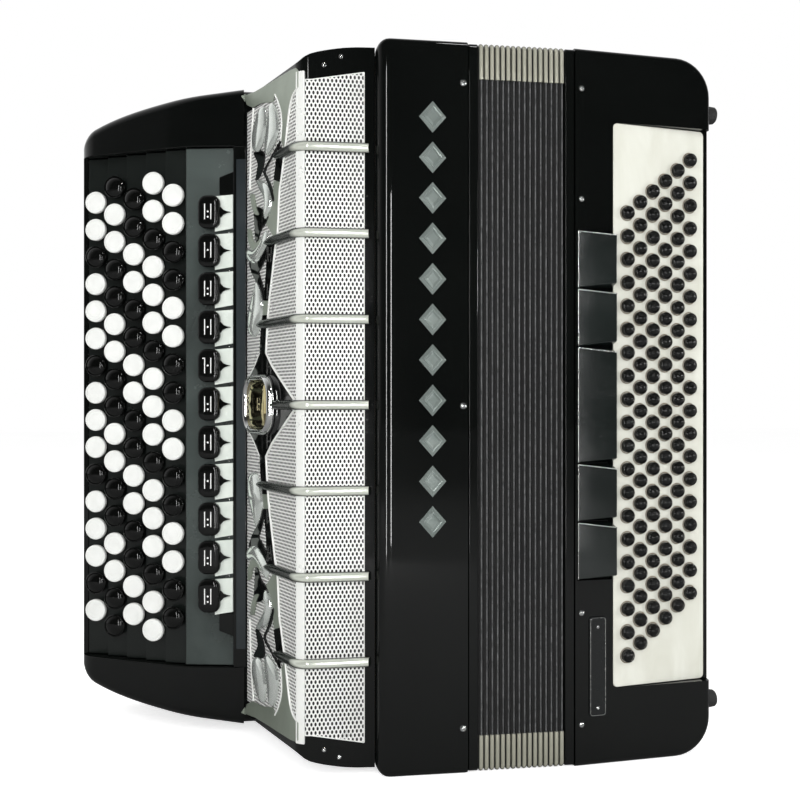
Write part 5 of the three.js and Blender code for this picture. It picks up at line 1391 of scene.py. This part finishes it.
box = placed(outlineSolid(boxOutline(0), -body["depth"], 0), throughY)
for vertex in box.data.vertices:        # the front draws back towards the bass end
    share = (vertex.co.x - bassLeft) / bassCase["width"]
    vertex.co.y += share * bassCase["taper"] * (1 - vertex.co.y / body["depth"])
front, back = bassCase["taper"] + 1, body["depth"] - 1
pickEdges(box, lambda a, b: (abs(a.x - bassLeft) > 0.01 or abs(b.x - bassLeft) > 0.01) and (
    (a.y < front and b.y < front) or (a.y > back and b.y > back)))
bevelPicked(box, bassCase["edge"], 5)
hollow = placed(outlineSolid(boxOutline(bassCase["wall"]), -body["depth"] + bassCase["wall"],
                             -bassCase["hollowFront"]), throughY)
for vertex in hollow.data.vertices:
    vertex.co.x -= 4 if vertex.co.x < bassLeft + 1 else 0
near, far = ((plateBoard @ Vector((u, 0, 0))).xy for u in (0, plate["run"] + plate["start"]))
plateMid, plateHalf = body["mid"] + plate["shift"], plate["height"] / 2 + seatGap
sunk = outlineSolid([tuple(near), tuple(far), (far.x, -plate["clear"]), (near.x, -plate["clear"])],
                    plateMid - plateHalf, plateMid + plateHalf)
seat = placed(outlineSolid(plateOutline(seatGap), -plate["thickness"] - seatGap, plate["clear"]), plateBoard)
bassRegisters = {"unit": 36.1, "shares": (1, 1, 2, 1, 1), "gap": 0.7, "start": 1.6, "width": 23,
                 "pocket": 3.2, "thin": 1, "thick": 7.5, "slope": 3, "wire": 0.3, "foot": -2.9, "heel": -0.6,
                 "side": 0.35}
strap = {"width": 60, "thickness": 4, "low": 56, "high": 380, "landing": 14, "bulge": 36, "centre": 134,
         "tuck": 6}
wheel = {"radius": 15, "height": 7, "teeth": 54, "axle": 3, "reach": 8.5,
         "place": (150.7, strap["centre"], 406)}
airButton = {"place": (66, 120.5), "radius": 6, "depth": 10, "bore": 8}
cover = {"inset": 16, "corner": 8, "thickness": 2.2, "back": 199.9, "slots": 7, "slotPitch": 26,
         "slotInset": 14, "slotHalf": 1.6, "beyond": 204, "seatDepth": 197.2, "slotDepth": 190}


def coverOutline(inset):
    return roundedRectangle(bassLeft + inset, inset, bassRight - inset, body["height"] - inset,
                            cover["corner"])


def cylinder(radius, low, high, steps):
    return turnedPiece([(0, low), (radius, low), (radius, high), (0, high)], steps)


run = bassRegisters["unit"] * sum(bassRegisters["shares"]) / 2 + seatGap
pocket = placed(outlineSolid(rectangle(bassRegisters["start"] - seatGap, plate["shift"] - run,
                                       bassRegisters["start"] + bassRegisters["width"] + seatGap,
                                       plate["shift"] + run), -bassRegisters["pocket"], 6), frontBoard)
wheelRoom = placed(cylinder(wheel["radius"] + seatGap, -wheel["height"] / 2 - seatGap,
                            wheel["height"] / 2 + seatGap, 48), Matrix.Translation(wheel["place"]))
slotHalf = strap["width"] / 2 + seatGap
strapSlot = blockPiece((bassRight - 2 * strap["tuck"], strap["centre"] - slotHalf, strap["high"]),
                       (bassRight + 4, strap["centre"] + slotHalf,
                        strap["high"] + strap["thickness"] + 2 * seatGap))
airBoard = endBoard @ spot(*airButton["place"])
airBore = placed(cylinder(airButton["radius"] + seatGap, -airButton["bore"], 4, 24), airBoard)
coverSeat = placed(outlineSolid(coverOutline(cover["inset"] - seatGap), -cover["beyond"],
                                -cover["seatDepth"]), throughY)
cutAway(box, hollow, sunk, seat, pocket, wheelRoom, strapSlot, airBore, coverSeat)
softenEdges(box, 0.35, 2, 50)
finishPiece(box, "bassBox", "bass", lacquer, angle=32, replaces=("bass_case",))

pearlPlate = outlineSolid(plateOutline(0), -plate["thickness"], 0)
softenEdges(pearlPlate, 0.5, 3)
finishPiece(placed(pearlPlate, plateBoard), "bassButtonPlate", "bass", pearl,
            replaces=("bass_button_plate",))

bassButtons = {"columns": 6, "count": 20, "pitch": 14.6, "spacing": 9.2, "first": 9.7, "radius": 4.2,
               "rise": 4.2, "moving": 6}


def bassPlace(column, index):
    steps = index - (bassButtons["count"] - 1) / 2 + (column - (bassButtons["columns"] - 1) / 2) / 2
    return plateBoard @ spot(bassButtons["first"] + column * bassButtons["spacing"],
                             plate["shift"] + steps * bassButtons["pitch"])


def bassButtonShape():
    r, h = bassButtons["radius"], bassButtons["rise"]
    return turnedPiece([(0, -1), (r - 0.1, -1), (r - 0.1, h - 2.2), (r, h - 1.7), (r - 0.25, h - 1.2),
                        (r - 0.8, h - 1.0), (r - 1.0, h - 1.15), (r - 1.25, h - 0.8), (r - 1.8, h - 0.2),
                        (r - 2.6, h + 0.3), (r - 3.4, h + 0.52), (0, h + 0.58)], 22)


rings = []
for column in range(bassButtons["columns"]):
    moving = bassButtons["moving"] + column
    spots = [bassPlace(column, i) for i in range(bassButtons["count"]) if i != moving]
    rings += [bassPlace(column, i) for i in range(bassButtons["count"])]
    finishPiece(copies(bassButtonShape(), spots), f"bassButtonColumn{column + 1}", "bass",
                buttonBlack, angle=45)
    name = f"bass_button_column_{column + 1}"
    finishPiece(placed(bassButtonShape(), bassPlace(column, moving)), f"pressBassButton{column + 1}", name,
                buttonBlack, angle=45, replaces=(name,))
felt = turnedPiece([(4.35, -0.2), (5.0, -0.2), (5.0, 0.06), (4.35, 0.1)], 20)
finishPiece(copies(felt, rings), "bassButtonFelts", "bass", feltBrown, angle=60)


def bassRegisterRing(u, low, high, middle, halfLow, halfHigh):
    return [tuple(frontBoard @ Vector((u, v, out))) for v, out in (
        (middle - halfLow, low), (middle + halfLow, low), (middle + halfHigh, high),
        (middle - halfHigh, high))]


before = 0
for i, share in enumerate(bassRegisters["shares"]):
    middle = plate["shift"] + (before + share / 2 - sum(bassRegisters["shares"]) / 2) * bassRegisters["unit"]
    before += share
    tall = (share * bassRegisters["unit"] - bassRegisters["gap"]) / 2
    left = bassRegisterRing(bassRegisters["start"], bassRegisters["foot"], bassRegisters["thin"], middle,
                            tall, tall - bassRegisters["side"])
    right = bassRegisterRing(bassRegisters["start"] + bassRegisters["width"], bassRegisters["heel"],
                             bassRegisters["thick"], middle, tall, tall - bassRegisters["slope"])
    wedge = loftPiece([left, right])
    softenEdges(wedge, 0.55, 3, 30)
    name = f"bass_register_{i + 1}"
    finishPiece(wedge, f"bassRegisterWedge{i + 1}", name, registerBlack, replaces=(name,))
    # thin satin tubes along each wedge's top and left edges stand in for their light edge highlights: painted
    # highlight
    wire = tubePiece([[left[2], right[2]], [left[3], left[2]]], bassRegisters["wire"], resolution=2)
    finishPiece(wire, f"bassRegisterEdge{i + 1}", name, satin, angle=60)
print("bass box done")

# small things on the bass box: bare plate, screws, feet, wheel, air button, cover

namePlate = {"box": (9.1, -192.0, 20.7, -130.0), "corner": 2, "low": 0.03, "high": 0.9, "lineInset": 0.8,
             "wire": 0.16, "rivets": ((14.9, 86.1), (14.9, 35.8)), "rivetOut": 0.6}
left, low, right, high = namePlate["box"]
barePlate = outlineSolid(roundedRectangle(left, low, right, high, namePlate["corner"], 4), namePlate["low"],
                         namePlate["high"])
softenEdges(barePlate, 0.25, 2)
inset = namePlate["lineInset"]
edgeOutline = roundedRectangle(left + inset, low + inset, right - inset, high - inset,
                               namePlate["corner"] - 0.5, 4)
edgeLine = tubePiece([[(x, y, namePlate["high"]) for x, y in edgeOutline]], namePlate["wire"], closed=True,
                     resolution=1)
finishPiece(placed(barePlate, frontBoard), "barePlate", "bass", blackPlastic)
finishPiece(placed(edgeLine, frontBoard), "barePlateEdge", "bass", satin, angle=70)
screwAt([frontBoard @ spot(u, z - body["mid"], namePlate["rivetOut"]) @ turnedBy(z)
         for u, z in namePlate["rivets"]], "barePlateRivets", "bass", 1.2)
screwAt([frontBoard @ spot(4.3, z - body["mid"]) @ turnedBy(z * 3) for z in (419.8, 351.4, 95.1, 26.0)],
        "bassFrontScrews", "bass", 1.7)

foot = {"radius": 6, "tip": 5.2, "rise": 8, "ys": (21, 179), "zs": (32.5, 412.5)}
number = 0
for z in foot["zs"]:
    for y in foot["ys"]:
        number += 1
        stud = turnedPiece([(0, 0.05), (foot["radius"], 0.05), (foot["radius"], 1.2),
                            (foot["tip"] + 0.2, foot["rise"] - 1.2), (foot["tip"] - 0.6, foot["rise"] - 0.25),
                            (3.2, foot["rise"]), (2.4, foot["rise"] - 0.2), (2.2, foot["rise"] - 1.6),
                            (0, foot["rise"] - 1.6)], 28)
        finishPiece(placed(stud, endBoard @ spot(y, z - body["mid"])), f"rubberFoot{number}", "bass",
                    rubberBlack, angle=40, replaces=(f"bass_foot_{number}",))
screwAt([endBoard @ spot(y, z - body["mid"], foot["rise"] - 1.7) @ turnedBy(y + z)
         for z in foot["zs"] for y in foot["ys"]], "footScrews", "bass", 1.7)


def strapPath():
    rest, start = seatGap + strap["thickness"] / 2, strap["low"] + strap["landing"]
    run = strap["high"] - start
    path = [((bassRight + rest, strap["low"]), (1, 0)), ((bassRight + rest, strap["low"] + 7), (1, 0))]
    for i in range(49):
        phase = 2 * math.pi * i / 48
        slope = strap["bulge"] / 2 * math.sin(phase) * 2 * math.pi / run
        place = (bassRight + rest + strap["bulge"] / 2 * (1 - math.cos(phase)), start + run * i / 48)
        length = math.hypot(1, slope)
        path.append((place, (1 / length, -slope / length)))
    for i in range(1, 7):
        angle = math.pi / 2 * i / 6
        path.append(((bassRight + rest * math.cos(angle), strap["high"] + rest * math.sin(angle)),
                     (math.cos(angle), math.sin(angle))))
    path.append(((bassRight - strap["tuck"], strap["high"] + rest), (0, 1)))
    return path


def strapSection(inflate):
    halfWide, halfThick = strap["width"] / 2, strap["thickness"] / 2
    outer = [(-1, 0.0), (-0.985, 0.62), (-0.94, 0.8), (-0.9, 0.7), (-0.86, 0.86), (-0.7, 1.0), (-0.35, 1.08),
             (0, 1.1)]
    outer += [(-x, y) for x, y in reversed(outer[:-1])]
    under = [(0.94, -0.8), (0.6, -1), (0, -1), (-0.6, -1), (-0.94, -0.8)]
    return [(x * halfWide, y * halfThick * (inflate if y > 0 else 1)) for x, y in outer + under]


rings = []
path = strapPath()
for i, (place, normal) in enumerate(path):
    inflate = 1.0 if 4 < i < len(path) - 9 else 0.85
    rings.append([(place[0] + normal[0] * out, strap["centre"] + across, place[1] + normal[1] * out)
                  for across, out in strapSection(inflate)])
strapPiece = loftPiece(rings)
finishPiece(strapPiece, "handStrap", "bass", leather, angle=50, replaces=("bass_strap",))
stitch = outlineSolid(roundedRectangle(-1.5, -0.32, 1.5, 0.32, 0.3, 2), -0.1, 0.28)
softenEdges(stitch, 0.12, 2, 40)
stitches = []
for i in range(3, len(path) - 9):
    (x0, z0), (x1, z1) = path[i][0], path[i + 1][0]
    for share in (0.25, 0.75):
        x, z = x0 + (x1 - x0) * share, z0 + (z1 - z0) * share
        normal = Vector((path[i][1][0], 0, path[i][1][1]))
        run = Vector((x1 - x0, 0, z1 - z0)).normalized()
        for side in (-1, 1):
            centre = Vector((x, strap["centre"] + side * strap["width"] / 2 * 0.9, z)) + normal * 1.4
            cross = normal.cross(run)
            stitches.append(Matrix(((run.x, cross.x, normal.x, centre.x),
                                    (run.y, cross.y, normal.y, centre.y),
                                    (run.z, cross.z, normal.z, centre.z), (0, 0, 0, 1))))
finishPiece(copies(stitch, stitches), "strapStitching", "bass", threadPale, angle=50)

anchor = {"half": 36, "height": 16, "low": 52, "rise": 7, "clear": 4.8, "screws": 33}
bridge = blockPiece((bassRight + seatGap, strap["centre"] - anchor["half"], anchor["low"]),
                    (bassRight + anchor["rise"], strap["centre"] + anchor["half"],
                     anchor["low"] + anchor["height"]))
pickEdges(bridge, lambda a, b: min(a.x, b.x) > bassRight + anchor["rise"] - 1)
bevelPicked(bridge, 2.2, 5)
cutAway(bridge, blockPiece((bassRight - 4, strap["centre"] - slotHalf, strap["low"] - seatGap),
                           (bassRight + anchor["clear"], strap["centre"] + slotHalf,
                            anchor["low"] + anchor["height"] + 4)))
softenEdges(bridge, 0.4, 2, 50)
finishPiece(bridge, "strapAnchor", "bass", chrome, replaces=("strap_anchor",))
screwAt([endBoard @ spot(strap["centre"] + side * anchor["screws"],
                         anchor["low"] + anchor["height"] / 2 - body["mid"],
                         anchor["rise"] - 0.2) @ turnedBy(50 * side) for side in (-1, 1)], "anchorScrews",
        "bass", 1.5)

knob = turnedPiece([(0, -3.5), (12.4, -3.5), (13.6, -3.1), (14.6, -2.4), (14.6, 2.4), (13.6, 3.1),
                    (12.4, 3.5), (11.6, 3.1), (5, 3.1), (4.4, 3.5), (0, 3.5)], wheel["teeth"] * 2)
for vertex in knob.data.vertices:
    around = round(math.atan2(vertex.co.y, vertex.co.x) / (2 * math.pi) * wheel["teeth"] * 2)
    if math.hypot(vertex.co.x, vertex.co.y) > 14 and around % 2:       # every second edge is a tooth
        vertex.co.x *= wheel["radius"] / 14.6
        vertex.co.y *= wheel["radius"] / 14.6
axle = cylinder(wheel["axle"], -wheel["reach"], wheel["reach"], 20)
finishPiece(placed(joined([knob, axle]), Matrix.Translation(wheel["place"])), "strapWheel", "strap_wheel",
            blackPlastic, angle=28, replaces=("strap_wheel",))

air = turnedPiece([(0, -airButton["depth"]), (airButton["radius"], -airButton["depth"]),
                   (airButton["radius"], 3.6), (5.6, 4.5), (4.6, 5.0), (3.6, 4.85), (1.5, 4.55), (0, 4.5)],
                  36)
finishPiece(placed(air, airBoard), "airButton", "air_button", buttonBlack, angle=40,
            replaces=("air_button",))
airRing = turnedPiece([(6.4, 0.02), (8.2, 0.02), (8.0, 0.8), (7.2, 1.1), (6.5, 0.8)], 36)
finishPiece(placed(airRing, airBoard), "airButtonRing", "bass", chrome, angle=50)

backPlate = outlineSolid(coverOutline(cover["inset"]), -cover["back"], cover["thickness"] - cover["back"])
coverLeft, coverRight = bassLeft + cover["inset"], bassRight - cover["inset"]
slots = []
for i in range(cover["slots"]):
    centre = body["mid"] + (i - (cover["slots"] - 1) / 2) * cover["slotPitch"]
    outline = roundedRectangle(coverLeft + cover["slotInset"], centre - cover["slotHalf"],
                               coverRight - cover["slotInset"], centre + cover["slotHalf"],
                               cover["slotHalf"] - 0.05, 5)
    slots.append(outlineSolid(outline, -cover["beyond"], -cover["slotDepth"]))
cutAway(backPlate, *slots)
softenEdges(backPlate, 0.35, 2, 50)
finishPiece(placed(backPlate, throughY), "bassBackCover", "bass", blackPlastic,
            replaces=("bass_back_cover",))
backFace = boardMatrix((0, cover["back"]), (-1, 0), (0, 1), 0)
screwAt([backFace @ spot(-x, z) @ turnedBy(x + z) for x in (coverLeft + 6, coverRight - 6)
         for z in (cover["inset"] + 7, 150, 295, body["height"] - cover["inset"] - 7)], "backCoverScrews",
        "bass", 1.8)

# shoulder strap brackets on the treble case's back

bracket = {"centre": 30, "levels": {"lower": 24, "upper": 421}, "plate": (44, 20, 2.5), "loop": 32,
           "reach": 13, "wire": 1.6, "bend": 5}
backBracket = boardMatrix((-bracket["centre"], body["depth"] + seatGap), (-1, 0), (0, 1), 0)
for where, height in bracket["levels"].items():
    wide, tall, thick = bracket["plate"]
    base = outlineSolid(roundedRectangle(-wide / 2, -tall / 2, wide / 2, tall / 2, 3.5, 6), 0, thick)
    softenEdges(base, 0.6, 3)
    halfLoop, bend = bracket["loop"] / 2, bracket["bend"]
    far = bracket["reach"] - bracket["wire"]
    path = [(-halfLoop, 0, 1.0), (-halfLoop, 0, far - bend)]
    path += [(-halfLoop + bend - bend * cosine(a), 0, far - bend + bend * sine(a))
             for a in range(15, 91, 15)]
    path += [(-x, 0, out) for x, _, out in reversed(path)]
    wire = tubePiece([path], bracket["wire"], resolution=4)
    collars = [placed(turnedPiece([(0, 0.5), (3.4, 0.5), (3.4, thick + 0.6), (2.6, thick + 1.4),
                                   (0, thick + 1.4)], 20), spot(side * halfLoop, 0)) for side in (-1, 1)]
    whole = placed(joined([base, wire, *collars]), backBracket @ spot(0, height))
    finishPiece(whole, f"{where}StrapBracket", "treble", chrome, angle=40,
                replaces=(f"strap_bracket_{where}",))
    screwAt([backBracket @ spot(x, height, thick - 0.1) @ turnedBy(20 + x * 4)
             for x in (-8, 8)], f"{where}BracketScrews", "treble", 1.8)

# inside: wooden soundboards and reed blocks stay as the frame has them

for name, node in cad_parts.items():
    if not node.hide_render:
        for materialSlot in node.material_slots:
            materialSlot.material = wood
print("frame pieces still shown:", sorted(name
                                          for name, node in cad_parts.items() if not node.hide_render))
